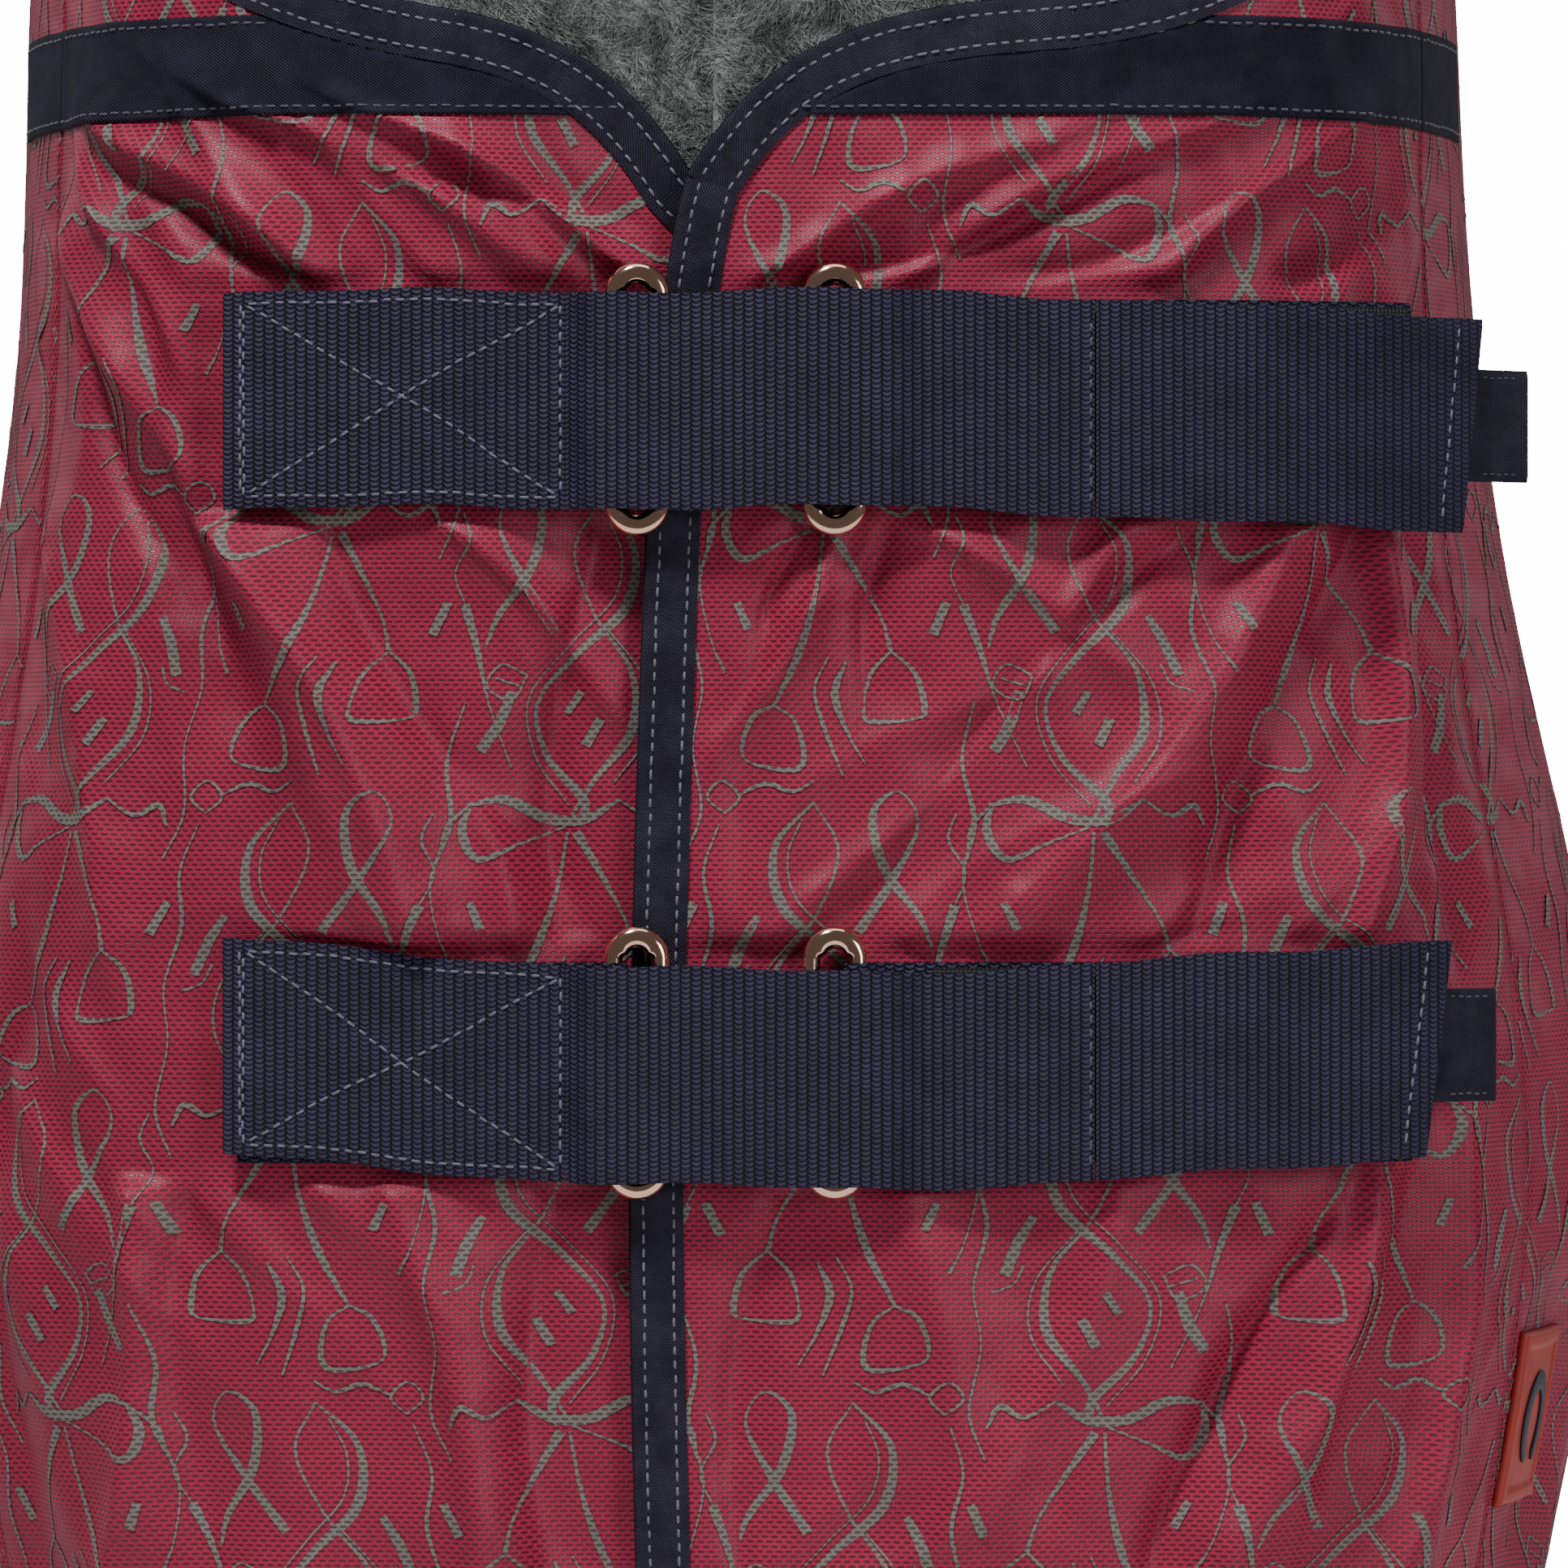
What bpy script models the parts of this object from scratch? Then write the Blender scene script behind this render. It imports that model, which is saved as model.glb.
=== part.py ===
"""A horse's turnout rug with a double-strap chest closure, as separate sewn pieces and fittings.

The rug's front faces -Y and +X is the horse's left. The origin is where the rug rests on the withers,
so everything else hangs below it. Each cloth piece is a patch of one shared surface, whose coordinates
are metres along the cloth: u runs from the front centre round the shoulder to the tail, positive on
the left side, and v runs up from the hem. Overlays are patches at a greater distance d from it.
"""

import math

import bmesh
import bpy
from mathutils import Vector

# Overall shape, metres
HEM_DROP = 1.00  # withers to hem
BODY_LENGTH = 1.40  # withers to rear edge
CHEST_REACH = 0.52  # withers to the chest's front
HALF_WIDTH = 0.284  # at the shoulders, above the bulge
SHOULDER_DROP = 0.38  # withers to where the sides start to arch inwards
CHEST_BULGE = 0.045  # how far the shoulder stands out at its widest
BULGE_DROP = 0.79
BULGE_SPREAD = 0.19
BARREL_SPREAD = 0.045
RUMP_TAPER = 0.050
BACK_DIP = 0.055
TAIL_DROP = 0.11
CROUP_AT = 1.00  # where the back starts to fall to the tail
SQUARENESS = 5.0  # exponent of the chest's plan, 2 for an ellipse
ARCH_SQUARENESS = 2.4

# Cloth and trim
CLOTH = 0.0018
TRIM = 0.0008  # the binding's and the bands' thickness
SEAT = 0.0005  # clearance between two layers
LINING_SLACK = 0.0010  # more clearance for what lies inside a curved panel
SEAM_GAP = 0.0006
BINDING_WIDTH = 0.019
FLEECE = 0.0026
SEAM_ROUND = 0.90  # share of the half width where the front panel meets the side panel

# Chest opening
LAP_EDGE = -0.0345  # the left panel's front edge, which lies on top
APEX = (-0.0186, -0.420)  # where the V of the neck ends
LAP_FLARE = 0.060
UNDERLAP_EDGE = 0.006  # the right panel's edge, hidden under the left
TUCK = 0.0085  # how far the hidden edge lies behind the cover
TUCK_START, TUCK_END = -0.090, -0.040
NECK_DROP = 0.068
NECK_SCALE = 0.040
NECK_FLAT = -0.352
NECK_RISE_FROM = 0.11
NECK_RISE = 3.0
UNDERLAP_SLOPE = 1.0
MITER = 0.35  # fall of the seam across a front panel's upper corner, for each metre inwards
BAND_HEIGHT = 0.0375
BAND_TOP = -0.360
FLEECE_TOP = -0.322
FLEECE_BOTTOM = -0.460

# Straps, rings and keepers
WEBBING = 0.0018
WEBBING_WIDTH = 0.080
UPPER_DROP, LOWER_DROP = 0.503, 0.748  # withers to each strap's middle
STRAP_START = -0.191
STRAP_STITCH = -0.0645  # from here the strap is free
STRAP_FOLD = 0.131  # from here its end peels off
UPPER_END, LOWER_END = 0.273, 0.259
STRAP_FOLLOW = 0.5  # share of the chest's curve that the stiff straps take
TAPE = 0.0011  # hook tape and loop tape
TAPE_WIDTH = 0.074
RING_X = (-0.038, 0.035)  # centres of the right and the left ring
RING_WIRE = 0.0066
RING_WIDTH = 0.0240
RING_HEIGHT = 0.1010
RING_STAND = 0.0066  # wire's centre in front of the cloth
RING_PLAY = 0.0004
RING_RISE = 0.012  # length in which the strap climbs onto the rings
RING_FALL_FROM, RING_FALL = 0.006, 0.016  # where it leaves the left ring, and the length of its way down
TAPES_FROM = 0.024  # hook and loop tape start this far from the left ring
KEEPER_FOOT = 0.010  # the keeper's legs part this far from the ring's bar
HOOK_MARGIN = 0.004  # the hook tape is this much narrower than its keeper
KEEPER_WIDTH = 0.074
KEEPER_REACH = (-0.186, 0.190)
KEEPER_TONGUE = 0.249
TAB_HEIGHT = 0.042
TAB_REACH = 0.022
TAB_HOLD = 0.012
TAB_TAPE = 0.0009

# Rubber patch on the left shoulder
PATCH_AT = (0.330, 0.114)  # u and v of its middle
PATCH_SIZE = (0.062, 0.066)
PATCH_THICK = 0.0022
PATCH_RELIEF = 0.0010
PATCH_RIM = 0.75  # share of the patch inside its raised rim
SHOE_RADII = (0.011, 0.017)

# Rear
SIDE_LENGTH = 0.72  # withers to the seam between side and hind panels
FLAP_WIDTH = 0.30
FLAP_BOTTOM = -0.55
FLAP_CURVE = 0.030  # how much higher the flap's bottom corners are
FLAP_FLARE = 0.050  # how far its bottom stands behind the rear edge
SPINE_TAPE_WIDTH = 0.040
SURCINGLE_WIDTH = 0.050
SURCINGLE_FRONT, SURCINGLE_REAR = 0.26, 0.50
SURCINGLE_TOP = -0.905
SURCINGLE_BELLY = -1.16
PLATE_HEIGHT, PLATE_WIDTH, PLATE_THICK = 0.044, 0.060, 0.0025
# how far inside the cloth the plates and the sewn ends lie, in lining slacks
PLATE_SLACK = {"front_surcingle": 2.9, "rear_surcingle": 2.6}
SEWN_SLACK = 2.1
# places along a surcingle, as shares of the way from its middle to its left end
SEWN_END, CLIP_FROM, CLIP_TO, CLIP_GAP = 0.9976, -0.8650, -0.985, 0.0005
BELLY_POWER = 2.5  # exponent of its curve under the belly
FLAT_FROM, FLAT_OVER = 0.75, 0.2  # where it turns to lie flat against the side

# Where the cloth's grid is divided
LEFT_COLUMNS = (-0.010, 0.025, 0.060, 0.095, 0.130, 0.160, 0.185, 0.205, 0.222, 0.236, 0.249)
RIGHT_COLUMNS = (0.018, 0.029, -TUCK_END, 0.052, 0.064, 0.076, -TUCK_START, 0.115, *LEFT_COLUMNS[5:])
SIDE_COLUMNS, BARREL_COLUMNS, HIND_COLUMNS = 11, 5, 5
LOW_ROWS, ARCH_ROWS = 7, 8

COLOURS = {
    "red_cloth": ((0.38, 0.018, 0.036, 1), 0.55, 0.0),
    "navy_tape": ((0.022, 0.024, 0.055, 1), 0.85, 0.0),
    "navy_webbing": ((0.018, 0.018, 0.040, 1), 0.80, 0.0),
    "grey_fleece": ((0.16, 0.18, 0.17, 1), 1.0, 0.0),
    "black_tape": ((0.010, 0.010, 0.011, 1), 0.90, 0.0),
    "rose_gold": ((0.83, 0.47, 0.33, 1), 0.15, 1.0),
    "orange_rubber": ((0.72, 0.10, 0.045, 1), 0.60, 0.0),
    "navy_rubber": ((0.016, 0.017, 0.040, 1), 0.60, 0.0),
    "steel": ((0.55, 0.55, 0.56, 1), 0.35, 1.0),
}


# --- the surface -----------------------------------------------------------------------------------


def arc_table(points):
    """[(length so far, point)] along a polyline."""
    table = [(0.0, points[0])]
    for before, after in zip(points, points[1:]):
        table.append((table[-1][0] + (after - before).length, after))
    return table


def at_length(table, length):
    """The point that lies this far along, going straight on past the ends."""
    low, high = 0, len(table) - 1
    while high - low > 1:
        middle = (low + high) // 2
        if table[middle][0] <= length:
            low = middle
        else:
            high = middle
    (start, first), (end, last) = table[low], table[high]
    return first.lerp(last, (length - start) / (end - start))


def plan_point(angle):
    """A point of the chest's plan, a superellipse, at this angle from the side."""
    across, along = math.cos(angle) / HALF_WIDTH, math.sin(angle) / CHEST_REACH
    radius = (abs(across) ** SQUARENESS + abs(along) ** SQUARENESS) ** (-1 / SQUARENESS)
    return Vector((radius * math.cos(angle) / HALF_WIDTH, radius * math.sin(angle) / CHEST_REACH))


def plan_table():
    steps = 240
    points = [plan_point(math.pi / 2 * (1 - i / steps)) for i in range(steps + 1)]
    return arc_table([Vector((p.x * HALF_WIDTH, -p.y * CHEST_REACH)) for p in points])


def profile_table():
    """The side's outline in (half width, height), from the hem up and over to the spine."""
    steps = 120
    arch = []
    for i in range(steps + 1):
        angle = math.pi / 2 * i / steps
        x = math.cos(angle) ** (2 / ARCH_SQUARENESS) if i < steps else 0.0
        z = math.sin(angle) ** (2 / ARCH_SQUARENESS)
        arch.append(Vector((x * HALF_WIDTH, -SHOULDER_DROP * (1 - z))))
    return arc_table([Vector((HALF_WIDTH, -HEM_DROP))] + arch)


PLAN = plan_table()
PROFILE = profile_table()
FRONT_ARC = PLAN[-1][0]
TOP = PROFILE[-1][0]
SHOULDER_V = HEM_DROP - SHOULDER_DROP


def point(u, v):
    """The rug's outer surface."""
    side = -1 if u < 0 else 1
    outline = at_length(PROFILE, v)
    reach, height = outline.x / HALF_WIDTH, outline.y
    bulge = 1 + CHEST_BULGE / HALF_WIDTH * math.exp(-(((height + BULGE_DROP) / BULGE_SPREAD) ** 2))
    if abs(u) <= FRONT_ARC:
        plan = at_length(PLAN, abs(u))
        return Vector((side * plan.x * reach * bulge, plan.y, height))
    y = abs(u) - FRONT_ARC
    share = y / BODY_LENGTH
    width = HALF_WIDTH + BARREL_SPREAD * math.sin(math.pi * share) - RUMP_TAPER * share**4
    dip = BACK_DIP * math.sin(math.pi * min(y, CROUP_AT) / CROUP_AT) ** 2
    fall = TAIL_DROP * max(0.0, (y - CROUP_AT) / (BODY_LENGTH - CROUP_AT)) ** 2
    height -= (dip + fall) * ((height + HEM_DROP) / HEM_DROP) ** 2
    return Vector((side * width * reach * bulge, y, height))


def slopes(u, v, step=0.0005):
    """The surface's directions along u and along v."""
    up = (point(u, v + step) - point(u, v - step)) / (2 * step)
    return (point(u + step, v) - point(u - step, v)) / (2 * step), up


def normal(u, v):
    """Outward. Near the spine it is taken just beside it, where the side flips."""
    v = min(v, TOP - 0.002)
    u = math.copysign(max(abs(u), 0.001), u)
    along, up = slopes(u, v)
    # u counts backwards on the right side, where the two directions turn the other way.
    found = along.cross(up).normalized()
    outwards = Vector((math.copysign(1, u), -1 if abs(u) < FRONT_ARC else 0, 1))
    return found if found.dot(outwards) > 0 else -found


def place(u, v, d):
    """A point at distance d outside the surface. On the spine it stays on the centre plane."""
    out = normal(u, v)
    if TOP - v < 1e-6 and abs(u) >= FRONT_ARC - 1e-6:
        out = Vector((0, out.y, out.z)).normalized()
    return point(u, v) + d * out


def v_of(height):
    """v on the chest and the sides, below the arch and just into it."""
    low, high = 0.0, TOP
    for _ in range(40):
        middle = (low + high) / 2
        if at_length(PROFILE, middle).y < height:
            low = middle
        else:
            high = middle
    return low


def seam_u():
    """u of the shoulder seam."""
    low, high = 0.0, FRONT_ARC
    for _ in range(40):
        middle = (low + high) / 2
        if at_length(PLAN, middle).x < SEAM_ROUND * HALF_WIDTH:
            low = middle
        else:
            high = middle
    return low


SEAM = seam_u()


def smooth(t):
    t = min(1.0, max(0.0, t))
    return t * t * (3 - 2 * t)


def neck_height(u):
    """A V that levels off, then rises towards the shoulder."""
    rise = NECK_RISE * max(0.0, abs(u) - NECK_RISE_FROM) ** 2
    return NECK_FLAT - NECK_DROP * math.exp(-abs(u - APEX[0]) / NECK_SCALE) + rise


def left_neck(u):
    """v of the left front panel's neckline."""
    return v_of(APEX[1] if u <= APEX[0] else neck_height(u))


def right_neck(u):
    """v of the right front panel's neckline, which goes on down behind the left panel."""
    return v_of(APEX[1] - UNDERLAP_SLOPE * (u - APEX[0]) if u > APEX[0] else neck_height(u))


def lap_edge(v):
    """u of the left panel's front edge."""
    above = min(0.0, v - v_of(APEX[1]))
    return LAP_EDGE + (APEX[0] - LAP_EDGE) * math.exp(above / LAP_FLARE)


def tuck(u):
    """How far the right panel's hidden edge is set back."""
    return -TUCK * smooth((u - TUCK_START) / (TUCK_END - TUCK_START))


def no_tuck(_u):
    return 0.0


def side_neck(share):
    """(u, v) on the neckline from the shoulder seam to the withers."""
    start = left_neck(SEAM)
    u = SEAM + (FRONT_ARC - SEAM) * (1 - (1 - share) ** 1.5)
    return u, start + (TOP - start) * share


# --- building meshes -------------------------------------------------------------------------------


def material(name):
    if name in bpy.data.materials:
        return bpy.data.materials[name]
    colour, roughness, metallic = COLOURS[name]
    made = bpy.data.materials.new(name)
    made.use_nodes = True
    shader = made.node_tree.nodes["Principled BSDF"]
    shader.inputs["Base Color"].default_value = colour
    shader.inputs["Roughness"].default_value = roughness
    shader.inputs["Metallic"].default_value = metallic
    made.diffuse_color = colour
    return made


def add(name, mesh, look, origin=(0, 0, 0)):
    """Puts the mesh, whose points are in world space, in the rug's collection with its origin here."""
    obj = bpy.data.objects.new(name, mesh)
    RUG.objects.link(obj)
    mesh.materials.clear()
    mesh.materials.append(material(look))
    mesh.transform(obj.matrix_world.Translation(-Vector(origin)))
    obj.location = origin
    mesh.shade_smooth()
    mesh.set_sharp_from_angle(angle=math.radians(35))
    return obj


def grid_solid(name, inner, outer, look, origin=(0, 0, 0)):
    """A sheet with thickness between two grids of points of the same size, each a list of rows."""
    rows, columns = len(inner), len(inner[0])
    bm = bmesh.new()
    layers = [[[bm.verts.new(p) for p in row] for row in grid] for grid in (inner, outer)]
    for layer in layers:
        for i in range(rows - 1):
            for j in range(columns - 1):
                bm.faces.new((layer[i][j], layer[i][j + 1], layer[i + 1][j + 1], layer[i + 1][j]))
    rim = [(0, j) for j in range(columns - 1)]
    rim += [(i, columns - 1) for i in range(rows - 1)]
    rim += [(rows - 1, j) for j in range(columns - 1, 0, -1)]
    rim += [(i, 0) for i in range(rows - 1, 0, -1)]
    for (i, j), (k, m) in zip(rim, rim[1:] + rim[:1]):
        bm.faces.new((layers[0][i][j], layers[0][k][m], layers[1][k][m], layers[1][i][j]))
    bmesh.ops.recalc_face_normals(bm, faces=bm.faces)
    mesh = bpy.data.meshes.new(name)
    bm.to_mesh(mesh)
    bm.free()
    return add(name, mesh, look, origin)


def sheet(name, grid, look, low=-CLOTH, high=0.0, shift=no_tuck):
    """A patch of cloth through a grid of (u, v), between two distances from the surface."""
    inner = [[place(u, v, low + shift(u)) for u, v in row] for row in grid]
    outer = [[place(u, v, high + shift(u)) for u, v in row] for row in grid]
    return grid_solid(name, inner, outer, look)


def sweep(name, sections, look, origin=(0, 0, 0)):
    """A closed solid through sections of equal size, each a ring of points."""
    bm = bmesh.new()
    rings = [[bm.verts.new(p) for p in section] for section in sections]
    count = len(rings[0])
    for before, after in zip(rings, rings[1:]):
        for i in range(count):
            k = (i + 1) % count
            bm.faces.new((before[i], before[k], after[k], after[i]))
    bm.faces.new(rings[0])
    bm.faces.new(rings[-1])
    bmesh.ops.recalc_face_normals(bm, faces=bm.faces)
    bmesh.ops.triangulate(bm, faces=[f for f in bm.faces if len(f.verts) > 4])
    mesh = bpy.data.meshes.new(name)
    bm.to_mesh(mesh)
    bm.free()
    return add(name, mesh, look, origin)


def binding(name, path, inward, shift=no_tuck, slack=LINING_SLACK, ends=None):
    """Twill tape folded over an edge. path is the edge in (u, v), inward a direction to the cloth, and
    ends the directions in which its two ends are cut, on a path that crosses curved cloth."""
    far = 1.8 * SEAT if ends else SEAT
    near = far + TRIM
    wide = spread(0, BINDING_WIDTH, 2 if ends else 1)[1:]
    ends = ends or (inward, inward)
    inner = [(e, -CLOTH - near - slack) for e in wide]
    section = [(e, near) for e in reversed(wide)] + [(-near, near), (-near, -CLOTH - near - slack)] + inner
    section += [(e, -CLOTH - far - slack) for e in reversed(wide)] + [(-far, -CLOTH - far - slack), (-far, far)]
    section += [(e, far) for e in wide]
    sections = []
    for index, (u, v) in enumerate(path):
        before, after = path[max(index - 1, 0)], path[min(index + 1, len(path) - 1)]
        # near the spine the slopes are those just beside it
        along, up = slopes(math.copysign(max(abs(u), 0.001), u), min(v, TOP - 0.001))
        run = along * (after[0] - before[0]) + up * (after[1] - before[1])
        run.normalize()
        cut = ends[0] if index == 0 else ends[1] if index == len(path) - 1 else inward
        across = (along * cut[0] + up * cut[1]).normalized()
        square = across - run * across.dot(run)
        across = across / square.length if index in (0, len(path) - 1) else square.normalized()
        # the step in (u, v) that moves one metre across
        uu, uv, vv = along.dot(along), along.dot(up), up.dot(up)
        a, b = across.dot(along), across.dot(up)
        scale = uu * vv - uv * uv
        step = ((a * vv - b * uv) / scale, (b * uu - a * uv) / scale)
        ring_points = []
        for e, d in section:
            at = u + e * step[0]
            ring_points.append(place(at, v + e * step[1], d + shift(at)))
        sections.append(ring_points)
    return sweep(name, sections, "navy_tape")


def spread(start, end, count):
    return [start + (end - start) * i / count for i in range(count + 1)]


# --- cloth panels ----------------------------------------------------------------------------------


def front_grid(edge, neck, columns):
    """Rows of (u, v) from the hem to the neckline, each from the front edge to the shoulder seam."""
    corner = neck(edge(TOP))
    rows = []
    for r in row_shares():
        us = [edge(r * corner), *columns]
        rows.append([(u, r * neck(u)) for u in us])
    return rows


def front_panels():
    seam = SEAM - SEAM_GAP / 2
    left = front_grid(lap_edge, left_neck, [*LEFT_COLUMNS, seam])
    right = front_grid(lambda _v: UNDERLAP_EDGE, right_neck, [-u for u in (*RIGHT_COLUMNS, seam)])
    sheet("left_front_panel", left, "red_cloth")
    sheet("right_front_panel", right, "red_cloth", shift=tuck)
    return left, right


def side_stations():
    """(u, v of the top edge) from the shoulder seam to the side panel's rear seam."""
    shares = spread(0, 1, SIDE_COLUMNS)
    neck = [side_neck(share) for share in [0, shares[1] / 2, *shares[1:]]]
    neck[0] = (SEAM + SEAM_GAP / 2, neck[0][1])
    barrel = [(FRONT_ARC + y, TOP) for y in spread(0, SIDE_LENGTH - SEAM_GAP / 2, BARREL_COLUMNS)[1:]]
    return neck + barrel


def hind_stations():
    ys = spread(SIDE_LENGTH + SEAM_GAP / 2, BODY_LENGTH - BINDING_WIDTH, HIND_COLUMNS)
    return [(FRONT_ARC + y, TOP) for y in [*ys, BODY_LENGTH]]


def body_rows(stations, sign):
    """Rows of (u, v) from the hem to the top edge, with a hair's gap at the spine."""
    return [[(sign * u, share * (top - SEAM_GAP / 2)) for u, top in stations] for share in row_shares()]


def row_shares():
    """Shares of the way from the hem to the top edge, the first at the hem binding's width."""
    bound, shoulder, collar = BINDING_WIDTH / TOP, SHOULDER_V / TOP, 1 - 1.5 * BINDING_WIDTH / TOP
    return [0, *spread(bound, shoulder, LOW_ROWS), *spread(shoulder, collar, ARCH_ROWS)[1:], 1]


def body_panels():
    for side, sign in (("left", 1), ("right", -1)):
        sheet(f"{side}_side_panel", body_rows(side_stations(), sign), "red_cloth")
        sheet(f"{side}_hind_panel", body_rows(hind_stations(), sign), "red_cloth")


def over_spine(stations, rows):
    """Rows of (u, v) that run from the left over the spine to the right, one for each station."""
    found = []
    for u, top in stations:
        half = [(u, share * (top - SEAM_GAP / 2)) for share in rows]
        found.append(half + [(-u, v) for _u, v in reversed(half)])
    return found


def spine_parts():
    shares = row_shares()[-5:]
    withers = [station for station in side_stations() if FRONT_ARC < station[0] < FRONT_ARC + 0.36]
    back = -CLOTH - SEAT - LINING_SLACK
    sheet("withers_fleece", over_spine(withers, shares), "grey_fleece", back - FLEECE, back)
    half = SPINE_TAPE_WIDTH / 2
    stations = [s for s in side_stations() if s[0] > FRONT_ARC] + hind_stations()[:-1]
    inset = [1 - half / TOP, 1]
    sheet("spine_tape", over_spine(stations, inset), "navy_webbing", SEAT, SEAT + WEBBING)


def tail_flap():
    """It hangs over the tail from the rear edge's top."""
    rear = FRONT_ARC + BODY_LENGTH
    back = BODY_LENGTH + 2 * SEAT + TRIM
    inner, outer = [], []
    for share in spread(0, 1, 6):
        row = []
        for x in spread(-FLAP_WIDTH / 2, FLAP_WIDTH / 2, 8):
            low, high = SHOULDER_V, TOP
            for _ in range(30):
                middle = (low + high) / 2
                low, high = (middle, high) if point(rear, middle).x > abs(x) else (low, middle)
            top = point(rear, low).z
            bottom = FLAP_BOTTOM + FLAP_CURVE * (2 * x / FLAP_WIDTH) ** 2
            z = top + (bottom - top) * share
            row.append(Vector((x, back + FLAP_FLARE * smooth(share), z)))
        inner.append(row)
        outer.append([p + Vector((0, CLOTH, 0)) for p in row])
    hinge = (0, back, point(rear, TOP).z)
    grid_solid("tail_flap", inner, outer, "red_cloth", hinge)


# --- fleece, bindings and bands --------------------------------------------------------------------


def neck_fleece():
    """Fleece facings behind the V. Each rises above its panel's neckline."""
    top, bottom = v_of(FLEECE_TOP), v_of(FLEECE_BOTTOM)
    back = -CLOTH - SEAT - TRIM - SEAT - 3.2 * LINING_SLACK
    left_us = [-0.010, 0.003, UNDERLAP_EDGE + 0.006, *LEFT_COLUMNS[1:-3]]
    right_us = [0.018, 0.003, *[-u for u in RIGHT_COLUMNS[:-3]]]
    left, right = [], []
    for share in spread(0, 1, 5):
        # in front of the hidden edge the left facing stays above the V's point
        lows = [bottom if u > UNDERLAP_EDGE + 0.004 else v_of(APEX[1] + 0.006) for u in left_us]
        left.append([(u, low + (top - low) * share) for u, low in zip(left_us, lows)])
        right.append([(u, bottom + (top - bottom) * share) for u in right_us])
    sheet("left_neck_fleece", left, "grey_fleece", back - FLEECE, back)
    sheet("right_neck_fleece", right, "grey_fleece", back - FLEECE, back, tuck)


def between(path, start, end):
    """The part of a (u, v) path between two values of v, cut on its own straight runs."""
    found = []
    for a, b in zip(path, path[1:]):
        for v in (start, end):
            if a[1] < v <= b[1]:
                share = (v - a[1]) / (b[1] - a[1])
                found.append((a[0] + (b[0] - a[0]) * share, v))
        if start < b[1] < end:
            found.append(b)
    return sorted(found, key=lambda spot: spot[1])


def front_bindings(left, right):
    """Round the two front panels: up each front edge, along each neckline and along each hem."""
    clear = BINDING_WIDTH + 2 * SEAT
    for side, grid, shift in (("left", left, no_tuck), ("right", right, tuck)):
        sign = 1 if side == "left" else -1
        edge = [row[0] for row in grid]
        miter = (sign, -MITER)
        edge = between(edge, clear, edge[-1][1] - 4 * SEAT)
        binding(f"{side}_front_binding", edge, (sign, 0), shift, ends=((sign, 0), miter))
        slack = 2.2 * LINING_SLACK
        binding(f"{side}_neck_binding", grid[-1], (0, -1), shift, slack, (miter, (0, -1)))
        binding(f"{side}_front_hem", grid[0], (0, 1), shift)


def body_bindings():
    for side, sign in (("left", 1), ("right", -1)):
        hem = [(sign * u, 0.0) for u, _top in side_stations() + hind_stations()]
        rear = FRONT_ARC + BODY_LENGTH
        clear = BINDING_WIDTH + 2 * SEAT
        binding(f"{side}_hem_binding", hem, (0, 1))
        edge = [(sign * rear, share * (TOP - SEAM_GAP)) for share in row_shares()]
        binding(f"{side}_rear_binding", between(edge, clear, TOP), (-sign, 0))
        neck = [(sign * u, v - SEAM_GAP * (v == TOP)) for u, v in side_stations()[: SIDE_COLUMNS + 2]]
        cuts = ((0, -1), (sign, 0))
        binding(f"{side}_collar_binding", neck, (sign, -1), slack=5 * LINING_SLACK, ends=cuts)


def shoulder_bands():
    """Wide navy bands below the neckline, each in two pieces that meet at the shoulder seam."""
    seam = SEAM - SEAM_GAP / 2
    low = v_of(BAND_TOP) - BAND_HEIGHT
    clear = BINDING_WIDTH * 1.16 + SEAT
    for side, sign, shift, columns in (
        ("left", 1, no_tuck, (*LEFT_COLUMNS[2:], seam)),
        ("right", -1, tuck, (*RIGHT_COLUMNS[4:], seam)),
    ):
        neck = left_neck if side == "left" else right_neck
        us = [sign * u for u in columns]
        tops = [min(low + BAND_HEIGHT, neck(u) - clear) for u in us]
        rows = [[(u, low + (top - low) * share) for u, top in zip(us, tops)] for share in (0, 0.5, 1)]
        sheet(f"{side}_front_band", rows, "navy_tape", SEAT, SEAT + TRIM, shift)
        us = [sign * u for u, _top in side_stations()[:5]]
        rows = [[(u, low + BAND_HEIGHT * share) for u in us] for share in (0, 0.5, 1)]
        sheet(f"{side}_side_band", rows, "navy_tape", SEAT, SEAT + TRIM)


# --- straps, keepers and rings ---------------------------------------------------------------------

CHEST_Y = -CHEST_REACH
LEG = SEAT + WEBBING  # one layer of webbing with its clearance
OVER_RING = RING_STAND + RING_WIRE / 2 + RING_PLAY + WEBBING + SEAT
STRAP_HEIGHTS = {"upper": -UPPER_DROP, "lower": -LOWER_DROP}
STRAP_ENDS = {"upper": UPPER_END, "lower": LOWER_END}
SAG = {"upper": 0.008, "lower": 0.012}
SLANT = {"upper": 0.004, "lower": 0.005}


def chest_y(x, z):
    """y of the chest's surface at this x and z."""
    v = v_of(z)
    return point(x * x / point(x, v).x if x else 0.0, v).y


def stiff_y(x, z):
    """y of a stiff layer lying on the chest, which takes only a share of its curve."""
    return CHEST_Y + STRAP_FOLLOW * (chest_y(x, z) - CHEST_Y)


def strap_middle(which, x):
    """Height of the strap's middle: the upper one droops at its end, the lower one in its middle."""
    share = (x - STRAP_START) / (STRAP_ENDS[which] - STRAP_START)
    if which == "upper":
        return STRAP_HEIGHTS[which] - SAG[which] * smooth(2 * share - 1)
    return STRAP_HEIGHTS[which] + SAG[which] * (0.5 - math.sin(math.pi * min(1, max(0, share))))


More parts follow.
